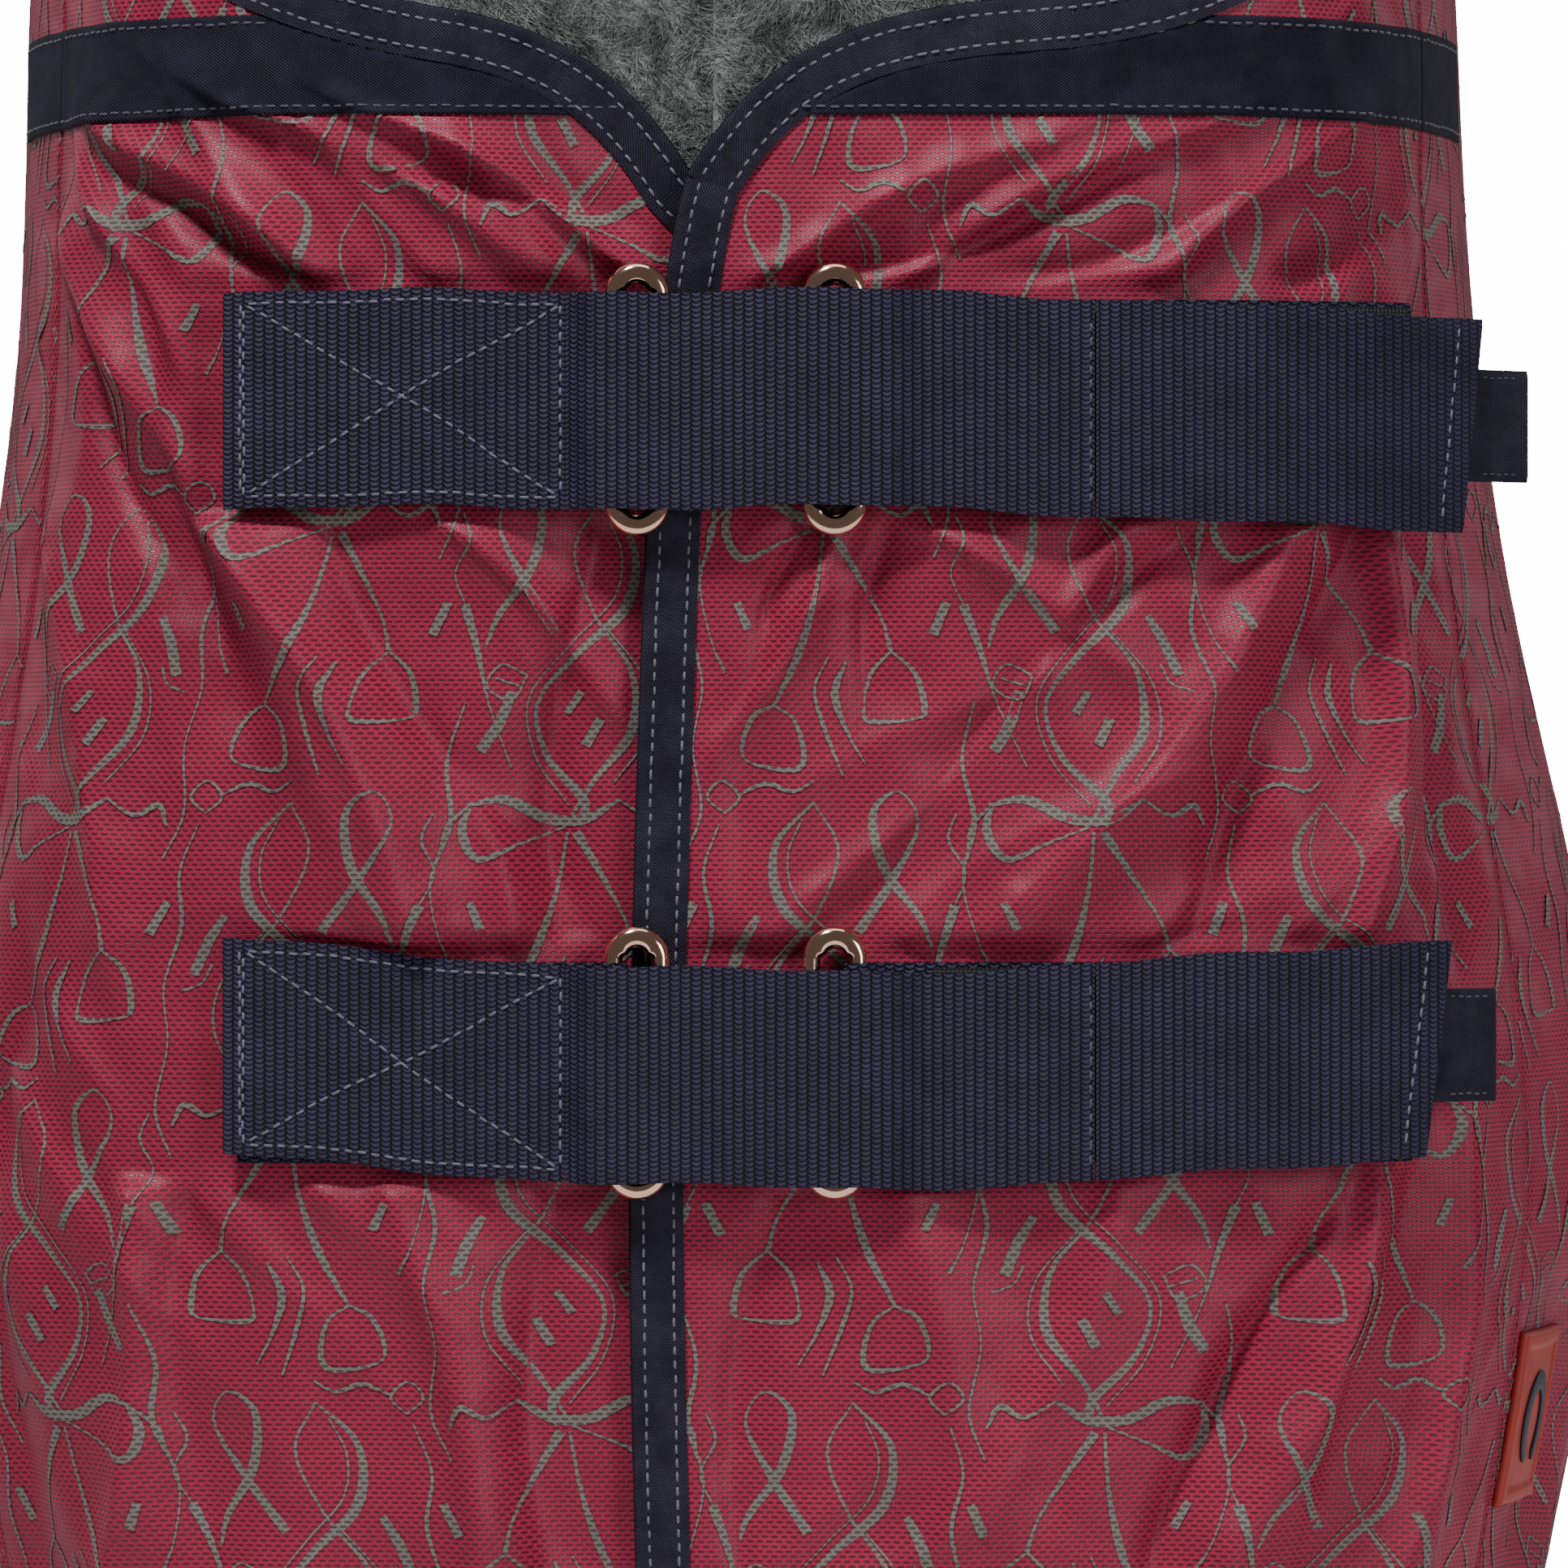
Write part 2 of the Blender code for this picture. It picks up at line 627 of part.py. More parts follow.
def strap_stand(x):
    """How far the strap's back stands from the chest: two layers, then the rings, then four layers."""
    low, right = SEAT + 2 * LEG, SEAT + 2 * LEG + 2 * (TAPE + SEAT)
    ring = OVER_RING
    left_rise = smooth((x - STRAP_STITCH) / RING_RISE)
    fall = smooth((x - (RING_X[1] + RING_WIDTH / 2 + RING_FALL_FROM)) / RING_FALL)
    return low + (ring - low) * left_rise + (right - ring) * fall


def offset_line(points, distance):
    """A plan polyline moved sideways, to the left of its run."""
    moved = []
    for i, p in enumerate(points):
        run = (points[min(i + 1, len(points) - 1)] - points[max(i - 1, 0)]).normalized()
        moved.append(p + distance * Vector((-run.y, run.x)))
    return moved


def ribbon(name, line, heights, thick, look, origin=(0, 0, 0)):
    """Webbing on edge: line(share) gives its plan at that share of its height, heights(x, share) its z."""
    inner, outer = [], []
    for share in (0.0, 0.5, 1.0):
        points = line(share)
        for grid, distance in ((inner, -thick / 2), (outer, thick / 2)):
            moved = offset_line(points, distance)
            grid.append([Vector((p.x, p.y, heights(p.x, share))) for p in moved])
    return grid_solid(name, inner, outer, look, origin)


def strap_line(which, start, end, stand, slant=0.0):
    """Plan of a layer of the strap at distance stand(x) from the stiff chest line."""

    def line(share):
        last = end + slant * (2 * share - 1)
        count = max(3, math.ceil((last - start) / 0.010))
        z = STRAP_HEIGHTS[which]
        return [Vector((x, stiff_y(x, z) - stand(x))) for x in spread(start, last, count)]

    return line


def strap_height(which, width):
    def height(x, share):
        return strap_middle(which, x) + width * (share - 0.5)

    return height


def hinge_at(which, x):
    """The front face of the strap there, where it bends."""
    z = STRAP_HEIGHTS[which]
    return (x, stiff_y(x, z) - strap_stand(x) - WEBBING, z)


def strap(which):
    gap = SEAM_GAP / 2
    middle = WEBBING / 2
    end, slant = STRAP_ENDS[which], SLANT[which]
    full = strap_height(which, WEBBING_WIDTH)
    tape = strap_height(which, TAPE_WIDTH)

    def webbing(x):
        return strap_stand(x) + middle

    def loop(x):
        return strap_stand(x) - SEAT - TAPE / 2

    spans = (
        (f"{which}_strap_root", STRAP_START, STRAP_STITCH - gap, 0.0, (0, 0, 0)),
        (f"{which}_strap", STRAP_STITCH + gap, STRAP_FOLD - gap, 0.0, hinge_at(which, STRAP_STITCH)),
        (f"{which}_strap_end", STRAP_FOLD + gap, end, slant, hinge_at(which, STRAP_FOLD)),
    )
    for name, start, stop, lean, origin in spans:
        line = strap_line(which, start, stop, webbing, lean)
        ribbon(name, line, full, WEBBING, "navy_webbing", origin)
    start = RING_X[1] + RING_WIDTH / 2 + TAPES_FROM
    hold = end - TAB_HOLD - slant
    fold = hinge_at(which, STRAP_FOLD)
    line = strap_line(which, start, STRAP_FOLD - gap, loop)
    ribbon(f"{which}_loop_tape", line, tape, TAPE, "black_tape", hinge_at(which, STRAP_STITCH))
    line = strap_line(which, STRAP_FOLD + gap, hold - 2 * SEAT, loop)
    ribbon(f"{which}_end_loop_tape", line, tape, TAPE, "black_tape", fold)
    line = strap_line(which, hold, end + TAB_REACH, lambda x: strap_stand(x) - 2 * SEAT - TAB_TAPE)
    tab = ribbon(f"{which}_pull_tab", line, strap_height(which, TAB_HEIGHT), 2 * TAB_TAPE, "navy_tape", fold)
    rounded(tab, TAB_TAPE * 0.7)


def rounded(obj, radius):
    bevel = obj.modifiers.new("Rounded", "BEVEL")
    bevel.width = radius
    bevel.segments = 1
    bevel.limit_method = "ANGLE"
    bevel.angle_limit = math.radians(60)


def keeper(side, which):
    """Webbing folded round a ring's outer bar and sewn to the chest. The left one's front leg is longer
    and carries the hook tape."""
    sign = 1 if side == "left" else -1
    ring_x = RING_X[1] if side == "left" else RING_X[0]
    bar_x = ring_x + sign * (RING_WIDTH - RING_WIRE) / 2
    radius = RING_WIRE / 2 + RING_PLAY + WEBBING / 2
    middle = STRAP_HEIGHTS[which]
    back, front = SEAT + WEBBING / 2, SEAT + LEG + WEBBING / 2

    def line(share):
        z = middle + KEEPER_WIDTH * (share - 0.5)
        reach = KEEPER_REACH[1] if side == "left" else KEEPER_REACH[0]
        tongue = KEEPER_TONGUE if side == "left" else reach
        foot = bar_x + sign * KEEPER_FOOT
        points = []
        for x in spread(reach, foot, 12):
            y = min(chest_y(x, z), chest_y(x, middle))
            points.append(Vector((x, y - back)))
        bar_y = CHEST_Y - RING_STAND
        for angle in spread(-90, 150, 10):
            turn = math.radians(angle)
            across = -sign * radius * math.cos(turn)
            points.append(Vector((bar_x + across, bar_y - radius * math.sin(turn))))
        for x in spread(foot + sign * 0.002, tongue, 18 if side == "left" else 12):
            y = stiff_y(x, middle) if side == "left" else min(chest_y(x, z), chest_y(x, middle))
            points.append(Vector((x, y - front)))
        return points

    def height(_x, share):
        return middle + KEEPER_WIDTH * (share - 0.5)

    ribbon(f"{side}_{which}_keeper", line, height, WEBBING, "navy_webbing")
    if side == "left":
        start = RING_X[1] + RING_WIDTH / 2 + TAPES_FROM
        end = min(KEEPER_TONGUE, STRAP_ENDS[which] - TAB_HOLD - SLANT[which]) - 2 * SEAT

        def tape_line(_share):
            stand = SEAT + 2 * LEG + TAPE / 2
            return [Vector((x, stiff_y(x, middle) - stand)) for x in spread(start, end, 16)]

        def tape_height(_x, share):
            return middle + (KEEPER_WIDTH - HOOK_MARGIN) * (share - 0.5)

        ribbon(f"{which}_hook_tape", tape_line, tape_height, TAPE, "black_tape")


def ring(side, which):
    """A polished oval ring whose outer bar turns in its keeper."""
    sign = 1 if side == "left" else -1
    ring_x = RING_X[1] if side == "left" else RING_X[0]
    half = (RING_WIDTH - RING_WIRE) / 2
    straight = RING_HEIGHT / 2 - RING_WIDTH / 2
    bar_x = ring_x + sign * half
    points = []
    for middle, start in ((straight, 0), (-straight, 180)):
        for angle in spread(start, start + 180, 8):
            turn = math.radians(angle)
            points.append((half * math.cos(turn), middle + half * math.sin(turn)))
    curve = bpy.data.curves.new(f"{side}_{which}_ring", "CURVE")
    curve.dimensions = "3D"
    curve.bevel_depth = RING_WIRE / 2
    curve.bevel_resolution = 3
    spline = curve.splines.new("POLY")
    spline.points.add(len(points) - 1)
    for spot, (x, z) in zip(spline.points, points):
        spot.co = (x - sign * half, 0, z, 1)
    spline.use_cyclic_u = True
    obj = bpy.data.objects.new(curve.name, curve)
    RUG.objects.link(obj)
    obj.location = (bar_x, CHEST_Y - RING_STAND, STRAP_HEIGHTS[which])
    curve.materials.append(material("rose_gold"))


# --- patch and surcingles --------------------------------------------------------------------------


def rubber_patch():
    """A moulded patch with a raised rim, and a plain horseshoe standing on it."""
    u0, v0 = PATCH_AT
    half_u, half_v = PATCH_SIZE[0] / 2, PATCH_SIZE[1] / 2
    steps = 8
    grid = [[(u0 + half_u * a, v0 + half_v * b) for a in spread(-1, 1, steps)] for b in spread(-1, 1, steps)]

    def outer(u, v):
        edge = max(abs(u - u0) / half_u, abs(v - v0) / half_v)
        return SEAT + PATCH_THICK + (PATCH_RELIEF if edge > PATCH_RIM else 0)

    low = [[place(u, v, SEAT) for u, v in row] for row in grid]
    high = [[place(u, v, outer(u, v)) for u, v in row] for row in grid]
    grid_solid("shoulder_patch", low, high, "orange_rubber")
    near, far = SHOE_RADII
    shoe = []
    for angle in spread(-55, 235, 14):
        turn = math.radians(angle)
        ring_points = []
        for radius, d in ((near, 0), (far, 0), (far, 1), (near, 1)):
            u = u0 + radius * math.cos(turn)
            v = v0 - 0.002 + 1.05 * radius * math.sin(turn)
            ring_points.append(place(u, v, SEAT + PATCH_THICK + SEAT * 0.6 + PATCH_RELIEF * d))
        shoe.append(ring_points)
    sweep("patch_horseshoe", shoe, "navy_rubber")


def surcingle(name, left_y, right_y, drop):
    """A belly strap from inside the left side panel across to a clip and its eye on the right one."""
    inside = -CLOTH - PLATE_SLACK[name] * LINING_SLACK - PLATE_THICK
    v = v_of(SURCINGLE_TOP)
    left = place(FRONT_ARC + left_y, v, -CLOTH - SEWN_SLACK * LINING_SLACK - WEBBING)
    right = place(-(FRONT_ARC + right_y), v, inside)
    middle = (left + right) / 2
    across = (left - right).to_2d().normalized()
    diagonal = Vector((-across.y, across.x, 0)) * SURCINGLE_WIDTH / 2

    def section(share, thick):
        """Two points of each face of the strap, at this share of the way from the middle to the left."""
        depth = (SURCINGLE_TOP - SURCINGLE_BELLY + drop) * (1 - abs(share) ** BELLY_POWER)
        centre = middle + (left - middle) * share
        centre.z = SURCINGLE_TOP - depth
        slope = BELLY_POWER * depth_slope(share, SURCINGLE_TOP - SURCINGLE_BELLY + drop, (left - middle).length)
        out = Vector((slope * across.x, slope * across.y, -1)).normalized()
        flat = smooth((abs(share) - FLAT_FROM) / FLAT_OVER)
        wide = diagonal.lerp(Vector((0, SURCINGLE_WIDTH / 2, 0)), flat)
        return [centre - wide, centre + wide], [centre - wide + out * thick, centre + wide + out * thick]

    for piece, start, end, thick, look in (
        (name, CLIP_FROM, SEWN_END, WEBBING, "navy_webbing"),
        (f"{name}_clip", CLIP_TO, CLIP_FROM - CLIP_GAP, PLATE_THICK, "steel"),
    ):
        pairs = [section(share, thick) for share in spread(start, end, 22 if piece == name else 3)]
        grid_solid(piece, [pair[0] for pair in pairs], [pair[1] for pair in pairs], look)
    half = PLATE_WIDTH / 2
    us = [-(FRONT_ARC + right_y) + half, -(FRONT_ARC + right_y) - half]
    rows = [[(u, v + 0.010 + PLATE_HEIGHT * share) for u in us] for share in (0, 1)]
    sheet(f"{name}_eye", rows, "steel", inside, inside + PLATE_THICK)


def depth_slope(share, depth, half_length):
    """Slope of the strap's curve, positive on its left half."""
    return math.copysign(depth * abs(share) ** (BELLY_POWER - 1) / half_length, share)


RUG = bpy.data.collections.new("turnout_rug")

# The front panels swing about upright axes just outside the shoulder seams
HINGE_X = SEAM_ROUND * (HALF_WIDTH + CHEST_BULGE) + 0.004
HINGE_Y = point(SEAM, SHOULDER_V).y - 0.004
FRONT_PIECES = (
    "front_panel",
    "front_binding",
    "neck_binding",
    "front_hem",
    "neck_fleece",
    "front_band",
    "upper_keeper",
    "lower_keeper",
    "upper_ring",
    "lower_ring",
)
RIGHT_STRAP_PIECES = [
    f"{which}_{piece}"
    for which in STRAP_HEIGHTS
    for piece in ("strap_root", "strap", "loop_tape", "strap_end", "end_loop_tape", "pull_tab")
]
LEFT_PATCH_PIECES = ["upper_hook_tape", "lower_hook_tape"]


def hang_fronts():
    """Everything sewn to a front panel is parented to an empty on the axis that the panel swings about."""
    for side, sign in (("left", 1), ("right", -1)):
        hinge = bpy.data.objects.new(f"{side}_front_hinge", None)
        hinge.location = (sign * HINGE_X, HINGE_Y, NECK_FLAT)
        RUG.objects.link(hinge)
        names = [f"{side}_{piece}" for piece in FRONT_PIECES]
        names += RIGHT_STRAP_PIECES if side == "right" else LEFT_PATCH_PIECES
        for name in names:
            piece = bpy.data.objects[name]
            piece.parent = hinge
            piece.location -= hinge.location


def build():
    for obj in list(bpy.data.objects):
        bpy.data.objects.remove(obj, do_unlink=True)
    bpy.context.scene.collection.children.link(RUG)
    left, right = front_panels()
    body_panels()
    spine_parts()
    tail_flap()
    neck_fleece()
    front_bindings(left, right)
    body_bindings()
    shoulder_bands()
    for which in ("upper", "lower"):
        strap(which)
        for side in ("left", "right"):
            keeper(side, which)
            ring(side, which)
    rubber_patch()
    surcingle("front_surcingle", SURCINGLE_FRONT, SURCINGLE_REAR, 0.0)
    surcingle("rear_surcingle", SURCINGLE_REAR, SURCINGLE_FRONT, 0.006)
    hang_fronts()


build()
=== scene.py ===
"""A turnout rug, hung in a pale studio: cloth, webbing, print, stitching, fleece and rings on the CAD frame.

As in the CAD source, each cloth piece is a patch of one surface with coordinates in metres: u round the chest
and the sides from the front centre, positive on the left, and v up from the hem. A formula adds folds along the
surface's normal; no cloth simulation runs.
"""

import math

import bpy
import numpy as np
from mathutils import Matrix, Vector


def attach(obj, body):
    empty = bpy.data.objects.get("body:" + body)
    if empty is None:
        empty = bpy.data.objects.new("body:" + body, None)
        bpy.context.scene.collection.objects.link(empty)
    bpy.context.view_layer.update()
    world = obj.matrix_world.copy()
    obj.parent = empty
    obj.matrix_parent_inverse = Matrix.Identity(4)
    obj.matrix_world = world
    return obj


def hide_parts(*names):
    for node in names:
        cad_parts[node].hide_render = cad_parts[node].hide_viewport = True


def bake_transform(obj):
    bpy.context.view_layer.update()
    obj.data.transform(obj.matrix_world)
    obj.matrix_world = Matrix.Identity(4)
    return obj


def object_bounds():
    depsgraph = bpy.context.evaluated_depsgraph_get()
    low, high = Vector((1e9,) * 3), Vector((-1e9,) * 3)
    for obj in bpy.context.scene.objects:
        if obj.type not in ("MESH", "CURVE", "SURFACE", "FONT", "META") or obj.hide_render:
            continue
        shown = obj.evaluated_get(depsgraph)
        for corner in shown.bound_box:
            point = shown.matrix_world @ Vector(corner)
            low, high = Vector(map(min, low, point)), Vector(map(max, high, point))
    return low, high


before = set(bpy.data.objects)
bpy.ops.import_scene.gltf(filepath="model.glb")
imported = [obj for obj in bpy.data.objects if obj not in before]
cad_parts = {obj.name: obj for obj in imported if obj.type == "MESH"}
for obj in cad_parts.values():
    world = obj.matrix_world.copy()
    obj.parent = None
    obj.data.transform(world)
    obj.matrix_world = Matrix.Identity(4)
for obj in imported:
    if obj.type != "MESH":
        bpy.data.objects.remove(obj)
cad_low, cad_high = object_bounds()
RNG = np.random.default_rng(11)

# --- the rug's shape, as in the CAD source, metres ---

HEM_DROP = 1.00
BODY_LENGTH = 1.40
CHEST_REACH = 0.52
HALF_WIDTH = 0.284
SHOULDER_DROP = 0.38
CHEST_BULGE = 0.045
BULGE_DROP = 0.79
BULGE_SPREAD = 0.19
BARREL_SPREAD = 0.045
RUMP_TAPER = 0.050
BACK_DIP = 0.055
TAIL_DROP = 0.11
CROUP_AT = 1.00
SQUARENESS = 5.0
ARCH_SQUARENESS = 2.4
CLOTH = 0.0018
SEAT = 0.0005
TRIM = 0.0008
BINDING_WIDTH = 0.019
SEAM_ROUND = 0.90
SEAM_GAP = 0.0006
LAP_EDGE = -0.0345
APEX = (-0.0186, -0.420)
LAP_FLARE = 0.060
UNDERLAP_EDGE = 0.006
TUCK = 0.0085
TUCK_START, TUCK_END = -0.090, -0.040
NECK_DROP = 0.068
NECK_SCALE = 0.040
NECK_FLAT = -0.352
NECK_RISE_FROM = 0.11
NECK_RISE = 3.0
BAND_HEIGHT = 0.0375
BAND_TOP = -0.360
FLEECE_TOP = -0.322
FLEECE_BOTTOM = -0.460
WEBBING = 0.0018
WEBBING_WIDTH = 0.080
STRAP_START = -0.191
STRAP_STITCH = -0.0645
STRAP_FOLD = 0.131
STRAP_FOLLOW = 0.5
TAPE = 0.0011
TAPE_WIDTH = 0.074
RING_X = (-0.038, 0.035)
RING_WIRE = 0.0066
RING_WIDTH = 0.0240
RING_HEIGHT = 0.1010
RING_STAND = 0.0066
RING_PLAY = 0.0004
KEEPER_WIDTH = 0.074
KEEPER_REACH = (-0.186, 0.190)
KEEPER_TONGUE = 0.249
TAB_HEIGHT = 0.042
TAB_REACH = 0.022
TAB_HOLD = 0.012
TAB_TAPE = 0.0009
PATCH_AT = (0.330, 0.114)
PATCH_SIZE = (0.062, 0.066)
SIDE_LENGTH = 0.72
FLEECE = 0.0026
LINING_SLACK = 0.0010
WITHERS_LENGTH = 0.335
FLAP_WIDTH = 0.30
FLAP_BOTTOM = -0.55
FLAP_CURVE = 0.030
FLAP_FLARE = 0.050
FLAP_DROP = 0.44
SPINE_TAPE_WIDTH = 0.040
SURCINGLE_WIDTH = 0.050
SURCINGLE_TOP = -0.905
SURCINGLE_BELLY = -1.16
PLATE_THICK = 0.0025
SEWN_SLACK = 2.1
SEWN_END, CLIP_FROM = 0.9976, -0.8650
BELLY_POWER = 2.5
FLAT_FROM, FLAT_OVER = 0.75, 0.2
# each belly strap's place on the left and on the right, how much lower it hangs, and its plates' clearance
SURCINGLES = {"front_surcingle": (0.26, 0.50, 0.0, 2.9), "rear_surcingle": (0.50, 0.26, 0.006, 2.6)}
STRAPS = ("upper", "lower")
STRAP_HEIGHTS = {"upper": -0.503, "lower": -0.748}
STRAP_ENDS = {"upper": 0.273, "lower": 0.259}
SAG = {"upper": 0.008, "lower": 0.012}
SLANT = {"upper": 0.004, "lower": 0.005}
SIDES = (("left", 1), ("right", -1))

# --- how the visual pieces are fitted to it, metres ---

HALF_GAP = SEAM_GAP / 2
BINDING_ROWS = (0.0042, 0.0152)  # its two rows of stitches, from the edge
TRIM_GAP = 0.0004  # between tapes of neighbouring panels
PRINT_GAP, PRINT_MARGIN, PRINT_BELOW_SPINE = 0.0012, 0.004, 0.012
CUT = 0.0003  # half the gap where a strap's parts meet
TAPE_FROM = RING_X[1] + RING_WIDTH / 2 + 0.024  # where the hook and loop tapes start
BAND_BACK = 0.075  # how far the bands go on behind the shoulder seams
RING_BROAD = 0.0017  # how much broader a ring's rounded ends are, towards the hole
PATCH_RISE = SEAT + 0.0022
HORSESHOE, HORSESHOE_HALF = 0.0140, 0.0033  # its middle line's radius and half its width
NECK_TUFTS, NECK_TUFT, WITHERS_TUFTS, WITHERS_TUFT = 9000, 0.0075, 5000, -0.0060  # how many, and how long
FLAP_TAPE, FLAP_TAPE_OVER, TAPE_OUT = 0.017, 0.0008, 0.0009
CAMERA_DISTANCE, VIEW_MIDDLE, VIEW_WIDTH = 3.5, (0.0162, -CHEST_REACH, -0.645), 0.5796


def unit(vectors):
    return vectors / np.linalg.norm(vectors, axis=-1, keepdims=True)


def run_of(points):
    """How far along a polyline each of its points is."""
    return np.concatenate([[0], np.cumsum(np.linalg.norm(np.diff(points, axis=0), axis=-1))])


def plan_curve():
    """(length, x, y) along the chest's plan from the front centre to the shoulder's side."""
    angle = np.linspace(math.pi / 2, 0, 481)
    across, along = np.cos(angle) / HALF_WIDTH, np.sin(angle) / CHEST_REACH
    radius = (np.abs(across) ** SQUARENESS + np.abs(along) ** SQUARENESS) ** (-1 / SQUARENESS)
    x, y = radius * np.cos(angle), -radius * np.sin(angle)
    return run_of(np.column_stack([x, y])), x, y


def profile_curve():
    """(length, half width, height) from the hem up and over to the spine."""
    angle = np.linspace(0, math.pi / 2, 241)
    x = HALF_WIDTH * np.abs(np.cos(angle)) ** (2 / ARCH_SQUARENESS)
    z = -SHOULDER_DROP * (1 - np.sin(angle) ** (2 / ARCH_SQUARENESS))
    x, z = np.concatenate([[HALF_WIDTH], x]), np.concatenate([[-HEM_DROP], z])
    x[-1] = 0
    return run_of(np.column_stack([x, z])), x, z


PLAN_S, PLAN_X, PLAN_Y = plan_curve()
PROFILE_S, PROFILE_X, PROFILE_Z = profile_curve()
FRONT_ARC, TOP = PLAN_S[-1], PROFILE_S[-1]
SHOULDER_V = HEM_DROP - SHOULDER_DROP
SEAM = float(np.interp(SEAM_ROUND * HALF_WIDTH, PLAN_X, PLAN_S))
SEAM_Y = float(np.interp(SEAM, PLAN_S, PLAN_Y))


def point(u, v):
    """The rug's smooth outer surface, at arrays of u and v."""
    u, v = np.broadcast_arrays(np.asarray(u, float), np.asarray(v, float))
    side, y = np.where(u < 0, -1.0, 1.0), np.abs(u) - FRONT_ARC
    reach = np.interp(v, PROFILE_S, PROFILE_X) / HALF_WIDTH
    z = np.interp(v, PROFILE_S, PROFILE_Z)
    bulge = 1 + CHEST_BULGE / HALF_WIDTH * np.exp(-(((z + BULGE_DROP) / BULGE_SPREAD) ** 2))
    behind = y > 0
    back = np.maximum(y, 0)
    share = back / BODY_LENGTH
    width = HALF_WIDTH + BARREL_SPREAD * np.sin(math.pi * share) - RUMP_TAPER * share**4
    dip = BACK_DIP * np.sin(math.pi * np.minimum(back, CROUP_AT) / CROUP_AT) ** 2
    fall = TAIL_DROP * np.maximum(0, (back - CROUP_AT) / (BODY_LENGTH - CROUP_AT)) ** 2
    low = z - (dip + fall) * ((z + HEM_DROP) / HEM_DROP) ** 2
    x = side * np.where(behind, width, np.interp(np.abs(u), PLAN_S, PLAN_X)) * reach * bulge
    y = np.where(behind, y, np.interp(np.abs(u), PLAN_S, PLAN_Y))
    return np.stack([x, y, np.where(behind, low, z)], -1)


def slopes(u, v, step=0.001):
    v = np.minimum(v, TOP - 2 * step)
    u = np.where(np.abs(u) < 2 * step, 2 * step, u)
    along = (point(u + step, v) - point(u - step, v)) / (2 * step)
    return along, (point(u, v + step) - point(u, v - step)) / (2 * step)


def normal(u, v):
    """Outward."""
    u, v = np.broadcast_arrays(np.asarray(u, float), np.asarray(v, float))
    along, up = slopes(u, v)
    out = unit(np.cross(along, up))
    side, front = np.where(u < 0, -1.0, 1.0), np.where(np.abs(u) < FRONT_ARC, -1.0, 0.0)
    towards = np.stack([side, front, np.ones_like(u)], -1)
    return out * np.sign((out * towards).sum(-1, keepdims=True))


def smooth(t):
    t = np.clip(t, 0, 1)
    return t * t * (3 - 2 * t)


def rounded(value, power):
    """The power of the value's size, with its sign."""
    return np.sign(value) * np.abs(value) ** power


def v_of(height):
    return np.interp(height, PROFILE_Z, PROFILE_S)


def height_of(v):
    return np.interp(v, PROFILE_S, PROFILE_Z)


def neck_height(u):
    rise = NECK_RISE * np.maximum(0, np.abs(u) - NECK_RISE_FROM) ** 2
    return NECK_FLAT - NECK_DROP * np.exp(-np.abs(u - APEX[0]) / NECK_SCALE) + rise


def left_neck(u):
    return v_of(np.where(u <= APEX[0], APEX[1], neck_height(u)))


def right_neck(u):
    return v_of(np.where(u > APEX[0], APEX[1] - (u - APEX[0]), neck_height(u)))


def lap_edge(v):
    return LAP_EDGE + (APEX[0] - LAP_EDGE) * np.exp(np.minimum(0, v - v_of(APEX[1])) / LAP_FLARE)


def tuck(u):
    """How far the right panel's hidden edge is set back."""
    return -TUCK * smooth((u - TUCK_START) / (TUCK_END - TUCK_START))


def no_tuck(u):
    return 0 * u


# --- folds ---

